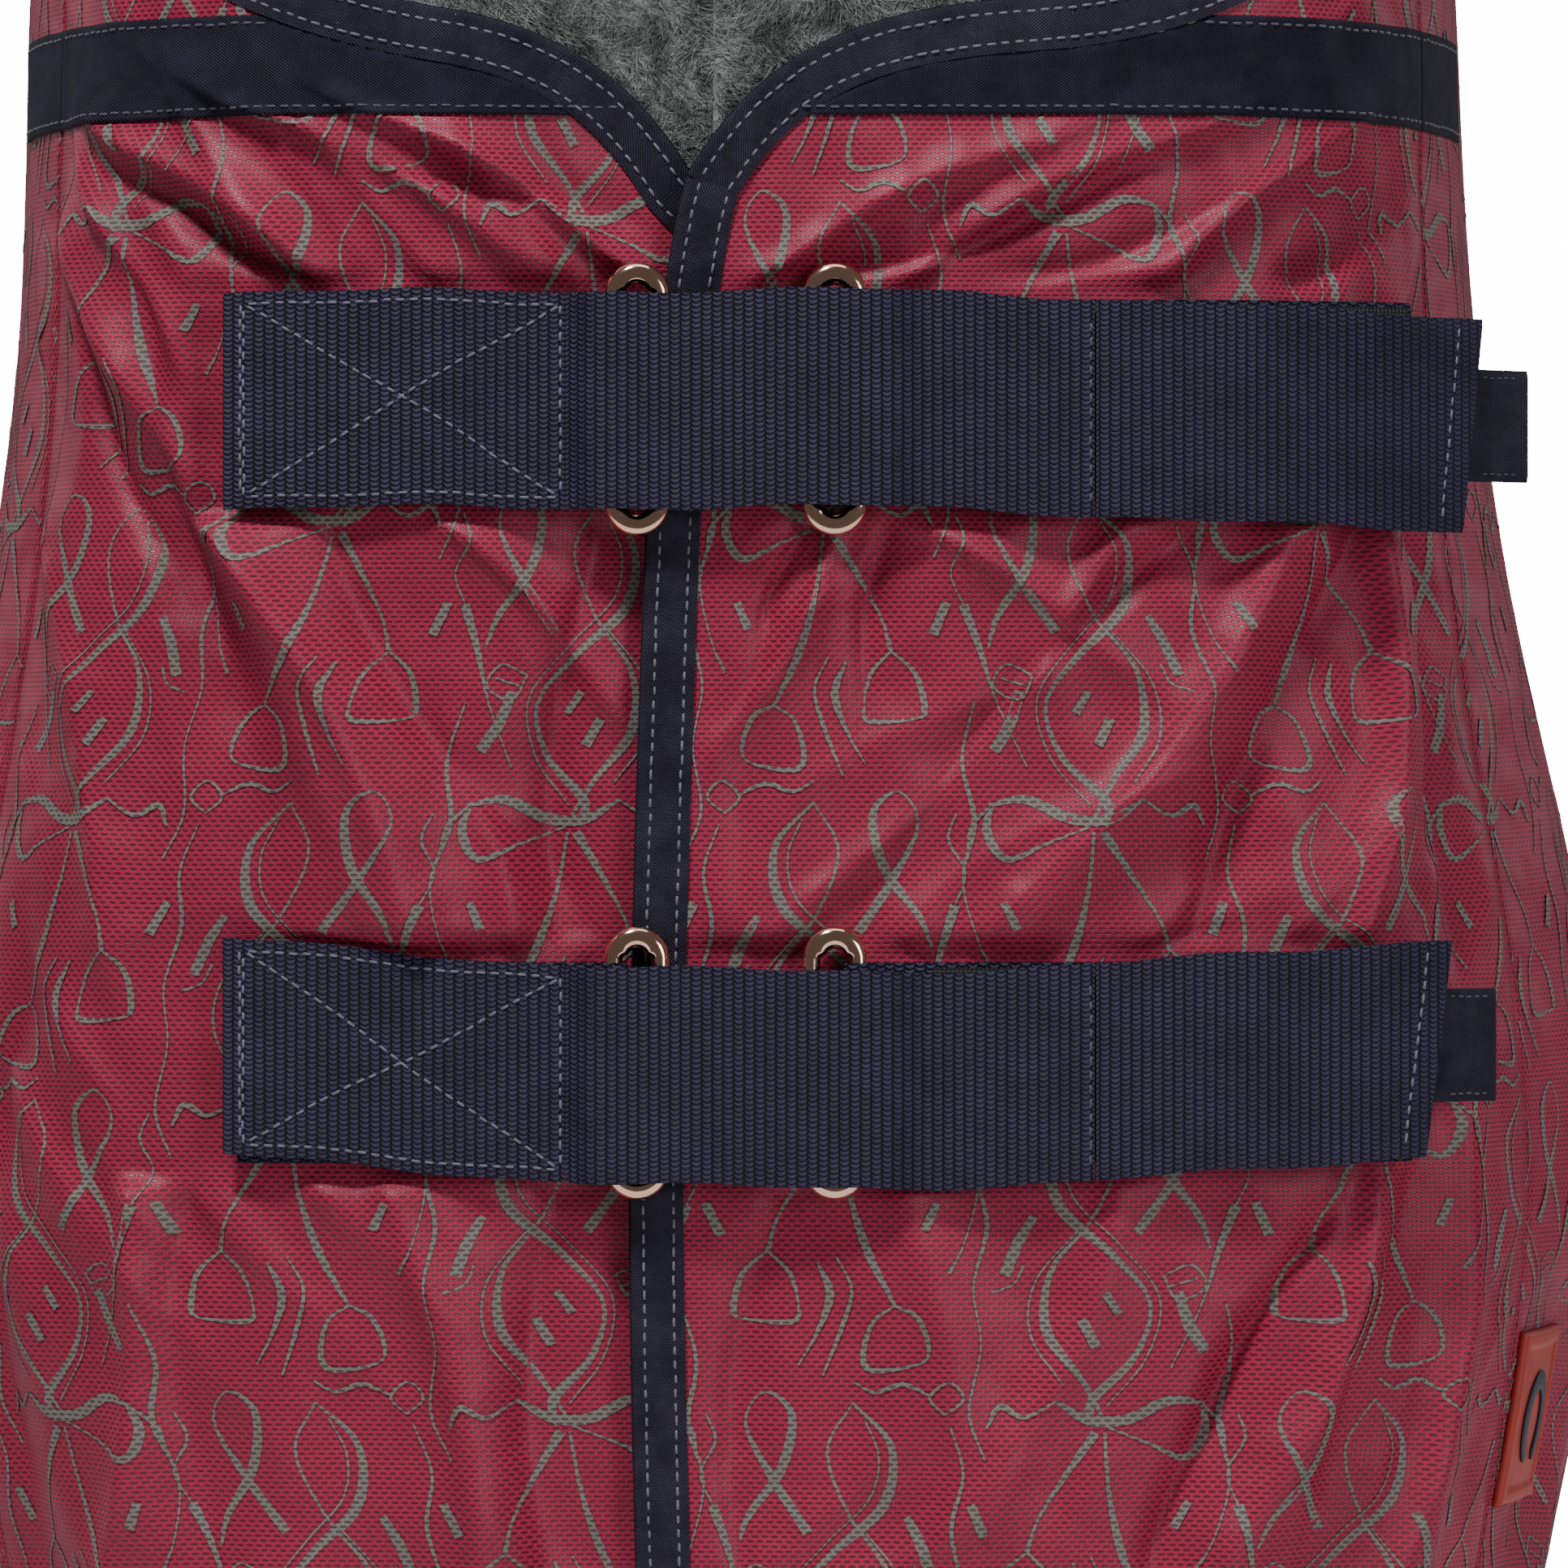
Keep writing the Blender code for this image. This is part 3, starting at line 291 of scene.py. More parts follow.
# Ridges and valleys of the hanging cloth: start and end (u, height), half width at each end, and height in mm.
# The straps pull the cloth together at the rings, so folds run out from there.
FOLDS = (
    # between the left shoulder and the upper strap
    ((-0.190, -0.392), (-0.088, -0.446), 6, 9, 4.2),
    ((-0.165, -0.398), (-0.070, -0.428), 5, 7, -2.6),
    ((-0.140, -0.396), (-0.052, -0.447), 5, 6, 4.0),
    ((-0.240, -0.405), (-0.150, -0.462), 8, 8, 4.0),
    ((-0.215, -0.430), (-0.120, -0.470), 6, 5, -3.0),
    ((-0.255, -0.425), (-0.200, -0.500), 8, 9, 3.6),
    ((-0.262, -0.470), (-0.212, -0.560), 7, 9, -3.2),
    # between the right shoulder and the upper strap
    ((0.010, -0.458), (0.112, -0.408), 5, 9, 3.2),
    ((0.030, -0.458), (0.140, -0.418), 4, 7, -2.6),
    ((0.060, -0.460), (0.168, -0.404), 5, 9, 3.4),
    ((0.095, -0.462), (0.200, -0.416), 5, 8, -2.4),
    ((0.150, -0.462), (0.232, -0.402), 7, 10, 3.4),
    ((0.185, -0.466), (0.262, -0.430), 6, 9, -2.2),
    # left, between the straps
    ((-0.262, -0.455), (-0.125, -0.690), 15, 22, 6.2),
    ((-0.222, -0.470), (-0.178, -0.600), 12, 14, -3.4),
    ((-0.190, -0.548), (-0.108, -0.700), 10, 15, 5.4),
    ((-0.150, -0.546), (-0.070, -0.668), 9, 12, -3.4),
    ((-0.110, -0.545), (-0.048, -0.612), 7, 9, 3.0),
    ((-0.270, -0.560), (-0.215, -0.700), 14, 16, 3.6),
    ((-0.052, -0.560), (-0.060, -0.700), 8, 10, -2.8),
    ((-0.095, -0.640), (-0.074, -0.704), 8, 8, 2.4),
    # right, between the straps
    ((0.034, -0.552), (-0.006, -0.628), 4, 8, 2.8),
    ((0.022, -0.552), (0.006, -0.600), 3, 4, -2.0),
    ((0.052, -0.552), (0.044, -0.606), 4, 6, -2.2),
    ((0.066, -0.551), (0.126, -0.596), 6, 10, 2.6),
    ((0.196, -0.552), (0.086, -0.694), 12, 15, 5.0),
    ((0.160, -0.552), (0.052, -0.672), 9, 12, -3.4),
    ((0.130, -0.560), (0.020, -0.690), 8, 12, 3.4),
    ((0.232, -0.552), (0.150, -0.700), 10, 13, -4.2),
    ((0.240, -0.545), (0.206, -0.700), 9, 12, 5.0),
    ((0.266, -0.560), (0.256, -0.690), 8, 11, -3.0),
    # left, below the lower strap
    ((-0.196, -0.792), (-0.226, -0.960), 10, 16, 5.0),
    ((-0.176, -0.792), (-0.180, -0.905), 9, 14, -3.0),
    ((-0.112, -0.796), (-0.090, -0.980), 11, 18, 4.8),
    ((-0.060, -0.800), (-0.058, -0.980), 10, 12, -2.8),
    ((-0.254, -0.730), (-0.262, -0.960), 14, 18, -3.2),
    # right, below the lower strap
    ((0.196, -0.785), (0.176, -0.838), 7, 7, 4.4),
    ((0.194, -0.800), (0.136, -0.960), 8, 12, -5.6),
    ((0.206, -0.786), (0.168, -0.925), 9, 14, 4.4),
    ((0.120, -0.797), (0.092, -0.890), 9, 14, 2.6),
    ((0.052, -0.802), (0.070, -0.970), 12, 18, 3.0),
    ((0.246, -0.770), (0.214, -0.985), 10, 15, 3.4),
    ((0.228, -0.780), (0.196, -0.985), 8, 11, -3.0),
    ((0.010, -0.802), (0.004, -0.960), 9, 12, -2.2),
)
FOLD_GAIN = 2.5
FREE_END = 0.030  # how gently a fold starts and ends
STRAP_CLEAR = 0.040  # half the height of the cloth that the keepers hold flat


def folds(u, v):
    """Height of the folds over the smooth surface."""
    u, v = np.broadcast_arrays(np.asarray(u, float), np.asarray(v, float))
    z = height_of(v)
    total = np.zeros_like(u)
    for (u0, z0), (u1, z1), first, last, high in FOLDS:
        run_u, run_z = u1 - u0, z1 - z0
        length = math.hypot(run_u, run_z)
        along = ((u - u0) * run_u + (z - z0) * run_z) / length
        near = (np.abs(along - length / 2) < length / 2 + 0.08) & (np.abs(u - u0) < 0.3)
        if not near.any():
            continue
        share = np.clip(along / length, 0, 1)
        # each fold is bowed a little, and steeper on its lower side
        bow = 0.06 * length * np.sin(math.pi * share)
        across = ((z - z0) * run_u - (u - u0) * run_z) / length - bow * math.copysign(1, high)
        width = (first + (last - first) * share) / 1000 * np.where(across < 0, 0.62, 1.22)
        outside = np.maximum(np.abs(along - length / 2) - length / 2, 0)
        fade = np.exp(-((outside / FREE_END) ** 2)) * (0.72 + 0.28 * np.sin(math.pi * share))
        total += FOLD_GAIN * high / 1000 * fade * np.exp(-np.abs(across / width) ** 1.4)
    # loose drape of the whole cloth, in long waves that hang down
    total += 0.0012 * np.sin(u * 70 + 2.2 * np.sin(z * 9)) * np.sin(z * 21 + u * 13)
    total += 0.0005 * np.sin(u * 190 + z * 60 + 1.5 * np.sin(z * 33))
    # small creases, which slant like the folds
    slant = np.abs(u) - 0.58 * z
    for count, bend, high in ((46, 1.9, 0.0042), (83, 1.3, 0.0020)):
        wave = np.sin(count * slant + bend * np.sin(17 * z + 13 * u) + bend)
        total += high * (1 - np.abs(wave)) ** 1.3 * (0.5 + 0.5 * np.sin(count * 0.4 * z - 9 * u + bend))
    side = smooth((np.abs(u) - 0.285) / 0.05)
    hang = 0.0056 * (1 + np.sin(u * 37 + 1.9 * np.sin(u * 9))) + 0.0020 * (1 + np.sin(u * 83 + z * 4))
    total = total * (1 - side) + side * hang * smooth((-0.30 - z) / 0.45)
    return total * hold(u, z)


def hold(u, z):
    """Where seams, bindings, keepers and the patch hold the cloth flat: 1 is free."""
    free = np.ones_like(u)
    for middle in STRAP_HEIGHTS.values():
        inside = np.maximum(np.abs(z - middle) - STRAP_CLEAR, 0) / 0.010
        beside = np.maximum(np.abs(u - 0.002) - 0.194, 0) / 0.020
        free *= smooth(np.hypot(inside, beside))
    free *= 0.30 + 0.70 * smooth(np.abs(np.abs(u) - SEAM) / 0.018)
    free *= 0.12 + 0.88 * smooth((neck_height(u) - 0.012 - z) / 0.040)
    free *= 0.35 + 0.65 * smooth((np.abs(u - lap_edge(v_of(z)) - 0.0095) - 0.010) / 0.012)
    patch = np.hypot((u - PATCH_AT[0]) / 0.050, (v_of(z) - PATCH_AT[1]) / 0.052)
    free *= smooth((patch - 0.75) / 0.6)
    return free


def place(u, v, d, shift=no_tuck):
    """A point at distance d outside the folded cloth."""
    u, v = np.broadcast_arrays(np.asarray(u, float), np.asarray(v, float))
    out = normal(u, v)
    spine = (TOP - v < 1e-6) & (np.abs(u) > FRONT_ARC - 1e-6)
    out = unit(np.where(spine[..., None], out * [0, 1, 1], out))
    return point(u, v) + (d + folds(u, v) + shift(u))[..., None] * out


# --- mesh builders ---


def in_scene(name, data, at):
    obj = bpy.data.objects.new(name, data)
    obj.location = at
    bpy.context.scene.collection.objects.link(obj)
    return obj


def quads_object(name, verts, quads, look, uv=None, sharp=None):
    """A mesh of quads, with uv given for each vertex."""
    verts, quads = np.asarray(verts, np.float32), np.asarray(quads, np.int32)
    mesh = bpy.data.meshes.new(name)
    mesh.vertices.add(len(verts))
    mesh.vertices.foreach_set("co", verts.ravel())
    mesh.loops.add(quads.size)
    mesh.loops.foreach_set("vertex_index", quads.ravel())
    mesh.polygons.add(len(quads))
    mesh.polygons.foreach_set("loop_start", np.arange(0, quads.size, 4, dtype=np.int32))
    mesh.update(calc_edges=True)
    if uv is not None:
        layer = mesh.uv_layers.new(name="Cloth")
        layer.data.foreach_set("uv", np.asarray(uv, np.float32)[quads.ravel()].ravel())
    mesh.materials.append(look)
    mesh.shade_smooth()
    if sharp:
        mesh.set_sharp_from_angle(angle=math.radians(sharp))
    return in_scene(name, mesh, (0, 0, 0))


def grid_faces(rows, columns, start=0):
    index = start + np.arange(rows * columns).reshape(rows, columns)
    return np.stack([index[:-1, :-1], index[:-1, 1:], index[1:, 1:], index[1:, :-1]], -1).reshape(-1, 4)


def outward(verts, quads):
    """The faces turned so that the closed mesh's normals point out."""
    a, b, c, d = (verts[quads[:, i]] for i in range(4))
    volume = (np.cross(b - a, c - a) * (a + b + c)).sum() + (np.cross(c - a, d - a) * (a + c + d)).sum()
    return quads[:, ::-1] if volume < 0 else quads


def shell(name, inner, outer, look, uv, sharp=None):
    """A closed sheet between two grids of points."""
    rows, columns = inner.shape[:2]
    count = rows * columns
    faces = [grid_faces(rows, columns)[:, ::-1], grid_faces(rows, columns, count)]
    index = np.arange(count).reshape(rows, columns)
    rim = np.concatenate([index[0, :-1], index[:-1, -1], index[-1, :0:-1], index[:0:-1, 0]])
    after = np.roll(rim, -1)
    faces.append(np.stack([rim, after, after + count, rim + count], -1))
    verts = np.concatenate([inner.reshape(-1, 3), outer.reshape(-1, 3)])
    uv = np.concatenate([uv.reshape(-1, 2)] * 2)
    return quads_object(name, verts, outward(verts, np.concatenate(faces)), look, uv, sharp)


def tube_faces(rings, sides, closed=False, start=0):
    """Side faces of a tube, and its two ends where it isn't closed. The number of sides is even."""
    index = start + np.arange(rings * sides).reshape(rings, sides)
    if closed:
        index = np.concatenate([index, index[:1]])
    turned = np.roll(index, -1, axis=1)
    faces = [np.stack([index[:-1], turned[:-1], turned[1:], index[1:]], -1).reshape(-1, 4)]
    if not closed:
        i = np.arange(sides // 2 - 1)
        cap = np.stack([i, i + 1, sides - 2 - i, sides - 1 - i], -1)
        faces += [start + cap[:, ::-1], start + (rings - 1) * sides + cap]
    return np.concatenate(faces)


def tube(name, sections, look, uv=None, closed=False, sharp=None):
    rings, sides = sections.shape[:2]
    verts = sections.reshape(-1, 3)
    faces = outward(verts, tube_faces(rings, sides, closed))
    return quads_object(name, verts, faces, look, None if uv is None else uv.reshape(-1, 2), sharp)


def resample(path, step):
    """Points about this far apart along a polyline, with its ends kept."""
    path = np.asarray(path, float)
    lengths = run_of(path)
    at = np.linspace(0, lengths[-1], max(2, round(lengths[-1] / step) + 1))
    return np.stack([np.interp(at, lengths, path[:, k]) for k in range(path.shape[1])], -1)


def cloth_sheet(name, u, v, look, low=-CLOTH, high=0.0, shift=no_tuck):
    uv = np.stack([u, v], -1)
    return shell(name, place(u, v, low, shift), place(u, v, high, shift), look, uv)


def stitches(name, lines, look, pitch=0.0052, length=0.0036, thick=0.0005):
    """Threads sewn along lines, each an (n, 6) array of (point, outward). A stitch is a small arched capsule."""
    verts, faces, count = [], [], 0
    turn = np.arange(6) * math.pi / 3
    for line in lines:
        line = np.asarray(line, float)
        steps = run_of(line[:, :3])
        for start in np.arange(pitch / 2, steps[-1] - length, pitch):
            sag = RNG.normal(0, 0.00012)
            span = length * (1 + RNG.normal(0, 0.06))
            at = start + span * np.array([0, 0.12, 0.5, 0.88, 1])
            spots = np.stack([np.interp(at, steps, line[:, k]) for k in range(6)], -1)
            out = unit(spots[:, 3:])
            run = spots[-1, :3] - spots[0, :3]
            run = unit(run)
            across = np.cross(out, run)
            rise = thick * np.array([-0.6, 0.25, 0.55, 0.25, -0.6])
            middle = spots[:, :3] + out * rise[:, None] + across * sag
            radius = thick * np.array([0.35, 0.9, 1.0, 0.9, 0.35])
            flat = across[:, None] * np.cos(turn)[:, None] + out[:, None] * 0.7 * np.sin(turn)[:, None]
            ring = middle[:, None] + radius[:, None, None] * flat
            faces.append(tube_faces(5, 6, start=count))
            verts.append(ring.reshape(-1, 3))
            count += 30
    verts, faces = np.concatenate(verts), np.concatenate(faces)
    return quads_object(name, verts, outward(verts, faces), look)


def sewn_line(u, v, d, shift=no_tuck, step=0.002):
    """A line on the cloth for stitches(), through (u, v), at distance d."""
    path = resample(np.stack([u, v], -1), step)
    at = place(path[:, 0], path[:, 1], d, shift)
    return np.concatenate([at, normal(path[:, 0], path[:, 1])], 1)


# --- materials ---


class Look:
    """A material's node tree, with short calls for its mathematics."""

    def __init__(self, name, colour, roughness, metallic=0.0, **settings):
        self.material = bpy.data.materials.new(name)
        self.material.use_nodes = True
        self.material.diffuse_color = (*colour, 1)
        self.tree = self.material.node_tree
        self.shader = self.tree.nodes["Principled BSDF"]
        settings |= {"Base Color": colour, "Roughness": roughness, "Metallic": metallic}
        for socket, value in settings.items():
            self.set(socket.replace("_", " "), value)

    def put(self, socket, value):
        """Links a node's output to the socket, or sets its value. Colours are tuples."""
        if isinstance(value, bpy.types.NodeSocket):
            self.tree.links.new(value, socket)
        else:
            socket.default_value = (*value, 1) if isinstance(value, tuple) else value

    def set(self, socket, value):
        self.put(self.shader.inputs[socket], value)

    def node(self, kind, **inputs):
        made = self.tree.nodes.new(kind)
        for socket, value in inputs.items():
            self.put(made.inputs[socket.replace("_", " ")], value)
        return made

    def math(self, operation, *values):
        made = self.tree.nodes.new("ShaderNodeMath")
        made.operation = operation
        for socket, value in zip(made.inputs, values):
            self.put(socket, value)
        return made.outputs[0]

    def add(self, a, b):
        return self.math("ADD", a, b)

    def times(self, a, b):
        return self.math("MULTIPLY", a, b)

    def fract(self, a):
        return self.math("FRACT", a)

    def square(self, a):
        return self.math("MULTIPLY", a, a)

    def saw(self, a, pitch):
        """From -1 to 1 over each pitch of a."""
        return self.add(self.times(self.fract(self.times(a, 1 / pitch)), 2.0), -1.0)

    def valley(self, a, pitch):
        """1 at the ends of each pitch of a, and 0 in its middle."""
        return self.math("ABSOLUTE", self.saw(a, pitch))

    def step(self, value, low, high):
        """Smooth step from 0 at low to 1 at high."""
        made = self.node("ShaderNodeMapRange", Value=value, From_Min=low, From_Max=high)
        made.interpolation_type = "SMOOTHSTEP"
        return made.outputs["Result"]

    def mix(self, share, first, second):
        made = self.tree.nodes.new("ShaderNodeMix")
        made.data_type = "RGBA"
        for socket, value in (("Factor", share), (6, first), (7, second)):
            self.put(made.inputs[socket], value)
        return made.outputs[2]

    def uv(self):
        made = self.tree.nodes.new("ShaderNodeUVMap")
        made.uv_map = "Cloth"
        split = self.node("ShaderNodeSeparateXYZ", Vector=made.outputs[0])
        return made.outputs[0], split.outputs[0], split.outputs[1]

    def noise(self, vector, scale, detail=3.0, roughness=0.5):
        settings = {"Vector": vector, "Scale": scale, "Detail": detail, "Roughness": roughness}
        return self.node("ShaderNodeTexNoise", **settings).outputs[0]

    def bump(self, *layers):
        """Relief from (height, distance) layers, the broadest first."""
        normal = {}
        for height, distance in layers:
            made = self.node("ShaderNodeBump", Height=height, Distance=distance, **normal)
            normal = {"Normal": made.outputs["Normal"]}
        self.set("Normal", normal["Normal"])

    def weave(self, height, low, high, dark, light, *layers):
        """Colours threads light and the gaps between them dark, as painted shade, with relief."""
        self.set("Base Color", self.mix(self.step(height, low, high), dark, light))
        self.bump(*layers)
        return self.material

    def generated(self):
        return self.tree.nodes.new("ShaderNodeTexCoord").outputs["Object"]


def shade(colour, share):
    return tuple(c * share for c in colour)


MESH_PITCH = (0.0033, 0.0018)  # of the holes in the satin mesh


def mesh_holes(look):
    """1 in the dash-shaped holes of the satin mesh, which lie in offset rows."""
    _both, u, v = look.uv()
    row = look.times(v, 1 / MESH_PITCH[1])
    odd = look.fract(look.times(look.math("FLOOR", row), 0.5))
    x = look.add(look.fract(look.add(look.times(u, 1 / MESH_PITCH[0]), odd)), -0.5)
    y = look.add(look.fract(row), -0.5)
    reach = look.add(look.square(look.times(x, 1 / 0.37)), look.square(look.times(y, 1 / 0.27)))
    return look.step(reach, 1.25, 0.55)


def satin_mesh(name, colour, hole_shade_colour, roughness, sheen):
    look = Look(name, colour, roughness, Sheen_Weight=sheen, Sheen_Roughness=0.35, Specular_IOR_Level=0.35)
    hole = mesh_holes(look)
    both, _u, _v = look.uv()
    patchy = look.noise(both, 26.0, 4.0, 0.6)
    toned = look.mix(look.step(patchy, 0.3, 0.7), colour, shade(colour, 0.86))
    # The holes get a dark colour: painted shade seen through the mesh.
    look.set("Base Color", look.mix(look.times(hole, 0.85), toned, hole_shade_colour))
    look.set("Roughness", look.add(look.times(hole, -0.05), roughness))
    look.set("Specular IOR Level", look.add(look.times(hole, 0.35), 0.22))
    fine = look.noise(both, 900.0, 2.0)
    crumple = look.noise(both, 20.0, 2.0, 0.5)
    look.bump((crumple, 0.0060), (look.add(look.times(hole, -1.0), look.times(fine, 0.25)), 0.00034))
    return look.material


def twill(name, colour):
    """Fine diagonal ribs of bound tape."""
    look = Look(name, colour, 0.70, Specular_IOR_Level=0.2)
    both, u, v = look.uv()
    slant = look.add(look.times(u, 1 / 0.0016), look.times(v, 1 / 0.0011))
    height = look.add(look.times(look.valley(slant, 1), 0.7), look.times(look.valley(u, 0.0009), 0.3))
    height = look.add(height, look.times(look.noise(both, 1300.0, 2.0), 0.35))
    # Lighter and darker patches of the threads: painted light and shade standing in for folds in the tape.
    blotches = look.step(look.noise(both, 55.0, 5.0, 0.65), 0.32, 0.68)
    light = look.mix(blotches, shade(colour, 1.1), shade(colour, 2.6))
    broad = (look.noise(both, 40.0, 3.0), 0.0035)
    # The dark colour in the gaps between the ribs is painted shade.
    return look.weave(height, 0.3, 1.05, shade(colour, 0.18), light, broad, (height, 0.00045))


def webbing(name, colour):
    """Ribbed webbing: short curved picks across upright ribs."""
    look = Look(name, colour, 0.60, Specular_IOR_Level=0.25)
    both, u, v = look.uv()
    column = look.times(u, 1 / 0.0039)
    arc = look.square(look.saw(column, 1))
    odd = look.fract(look.times(look.math("FLOOR", column), 0.5))
    row = look.add(look.add(look.times(v, 1 / 0.0019), odd), look.times(arc, -0.45))
    pick = look.add(1.0, look.times(look.square(look.saw(row, 1)), -1.0))
    body = look.add(1.0, look.times(look.square(arc), -0.75))
    height = look.times(look.math("POWER", look.math("MAXIMUM", pick, 0.0), 0.6), body)
    height = look.add(height, look.times(look.noise(both, 1500.0, 2.0), 0.25))
    # Lighter and darker patches of the threads, at random.
    blotches = look.step(look.noise(both, 38.0, 5.0, 0.65), 0.30, 0.70)
    light = look.mix(blotches, shade(colour, 1.8), shade(colour, 2.8))
    broad = (look.noise(both, 30.0, 3.0), 0.0045)
    # The dark colour in the gaps between the picks is painted shade.
    return look.weave(height, 0.35, 1.1, shade(colour, 0.10), light, broad, (height, 0.0010))


def hook_tape(name):
    look = Look(name, (0.012, 0.013, 0.013), 0.7)
    _both, u, v = look.uv()
    height = look.add(look.times(look.valley(u, 0.0016), 0.7), look.times(look.valley(v, 0.0014), 0.3))
    # The dark colour in the gaps between the hooks' rows is painted shade.
    return look.weave(height, 0.3, 0.9, (0.004, 0.004, 0.005), (0.030, 0.033, 0.031), (height, 0.0005))


def fleece(name):
    look = Look(name, (0.14, 0.155, 0.145), 0.95, Sheen_Weight=0.25, Sheen_Roughness=0.6)
    both = look.generated()
    coarse, fine = look.noise(both, 75.0, 5.0, 0.65), look.noise(both, 520.0, 4.0, 0.7)
    height = look.add(look.times(coarse, 0.7), look.times(fine, 0.4))
    # The pile's hollows get the dark colour as painted shade, its tips the light one.
    return look.weave(height, 0.38, 0.72, (0.032, 0.037, 0.036), (0.36, 0.385, 0.375), (height, 0.003))


def polished(name, colour, roughness):
    look = Look(name, colour, roughness, 1.0)
    both = look.generated()
    blotches = look.times(look.noise(both, 240.0, 4.0), roughness * 0.9)
    look.set("Roughness", look.add(roughness * 0.6, blotches))
    look.bump((look.noise(both, 700.0, 2.0), 0.00001))
    return look.material


def rubber(name, colour):
    look = Look(name, colour, 0.5)
    both = look.generated()
    grain = (look.noise(both, 1800.0, 3.0), 0.0001)
    return look.weave(look.noise(both, 90.0), 0.3, 0.7, colour, shade(colour, 0.85), grain)


def thread(name, colour):
    look = Look(name, colour, 0.55, Sheen_Weight=0.3)
    both = look.generated()
    look.set("Base Color", look.mix(look.noise(both, 400.0), colour, shade(colour, 0.45)))
    look.bump((look.noise(both, 3000.0), 0.0001))
    return look.material


# Each mesh's second colour is the painted shade in its holes.
RED = satin_mesh("satin_mesh_red", (0.405, 0.024, 0.073), (0.050, 0.003, 0.009), 0.50, 0.02)
GREY_PRINT = satin_mesh("print_grey", (0.230, 0.205, 0.185), (0.050, 0.030, 0.030), 0.70, 0.0)
NAVY_TWILL = twill("twill_navy", (0.0120, 0.0110, 0.0250))
# The navy twill made brighter, for the bindings and pull tabs: painted light.
LIT_NAVY_TWILL = twill("twill_navy_lit", (0.0225, 0.0195, 0.0370))
NAVY_WEB = webbing("webbing_navy", (0.0138, 0.0116, 0.0310))
BLACK_TAPE = hook_tape("hook_tape_black")
FLEECE_GREY = fleece("fleece_grey")
RED_THREAD = thread("thread_red", (0.20, 0.010, 0.022))
ROSE_GOLD = polished("rose_gold_polished", (0.93, 0.56, 0.41), 0.10)
STEEL = polished("steel_satin", (0.60, 0.60, 0.62), 0.30)
ORANGE = rubber("rubber_orange", (0.40, 0.032, 0.022))
NAVY_RUBBER = rubber("rubber_navy", (0.016, 0.018, 0.045))
LAVENDER = thread("thread_lavender", (0.20, 0.19, 0.28))
DARK_THREAD = thread("thread_navy", (0.075, 0.073, 0.11))

PIECES, BAND_GRIDS, PILE_GRIDS = {}, {}, {}


def keep(obj, slot):
    PIECES[obj.name] = obj
    return obj


def on_front(obj, side, slot, *nodes):
    """A piece of a front panel."""
    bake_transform(obj)
    if nodes:
        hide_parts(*nodes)
    return keep(obj, slot)


def riding(obj, body, slot, *nodes):
    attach(obj, body)
    if nodes:
        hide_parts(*nodes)
    return keep(obj, slot)


# --- cloth panels ---

FRONT_COLUMNS, FRONT_ROWS = 130, 260
NECKS = {"left": left_neck, "right": right_neck}
SHIFTS = {"left": no_tuck, "right": tuck}


def front_edge(side, v):
    return lap_edge(v) if side == "left" else 0 * v + UNDERLAP_EDGE


def front_grid(side, columns, rows):
    """(u, v) from the hem to the neckline, each row from the front edge to the shoulder seam."""
    sign, neck = (1, NECKS[side]) if side == "left" else (-1, NECKS[side])
    share = np.linspace(0, 1, rows)[:, None]
    corner = neck(front_edge(side, np.array(TOP)))
    start = front_edge(side, share * corner)
    end = sign * (SEAM - HALF_GAP)
    across = np.linspace(0, 1, columns)[None, :]
    u = start + (end - start) * across
    return u, share * neck(u)


def side_top(au):
    """v of the neckline, then of the spine, at this distance round the side."""
    start = float(left_neck(np.array(SEAM)))
    share = 1 - np.clip(1 - (au - SEAM) / (FRONT_ARC - SEAM), 0, 1) ** (1 / 1.5)
    return start + (TOP - start) * share


def neck_path(count=60):
    """(u, v) on the neckline from the shoulder seam to the withers."""
    share = np.linspace(0, 1, count)
    start = float(left_neck(np.array(SEAM)))
    return SEAM + (FRONT_ARC - SEAM) * (1 - (1 - share) ** 1.5), start + (TOP - start) * share


def body_grid(sign, us, rows):
    share = np.linspace(0, 1, rows)[:, None]
    top = np.where(us >= FRONT_ARC, TOP, side_top(us)) - HALF_GAP
    return sign * us[None, :] + 0 * share, share * top[None, :]


def side_columns():
    neck, _v = neck_path(70)
    neck[0] = SEAM + HALF_GAP
    return np.concatenate([neck, FRONT_ARC + np.linspace(0, SIDE_LENGTH - HALF_GAP, 160)[1:]])


def panels():
    for side, sign in SIDES:
        u, v = front_grid(side, FRONT_COLUMNS, FRONT_ROWS)
        made = cloth_sheet(f"{side}_front_cloth", u, v, RED, shift=SHIFTS[side])
        on_front(made, side, "red_cloth", f"{side}_front_panel")
        us = side_columns()
        u, v = body_grid(sign, us, 150)
        riding(cloth_sheet(f"{side}_side_cloth", u, v, RED), "rug_body", "red_cloth", f"{side}_side_panel")
        us = FRONT_ARC + np.linspace(SIDE_LENGTH + HALF_GAP, BODY_LENGTH, 150)
        u, v = body_grid(sign, us, 120)
        riding(cloth_sheet(f"{side}_hind_cloth", u, v, RED), "rug_body", "red_cloth", f"{side}_hind_panel")


# --- printed motif ---

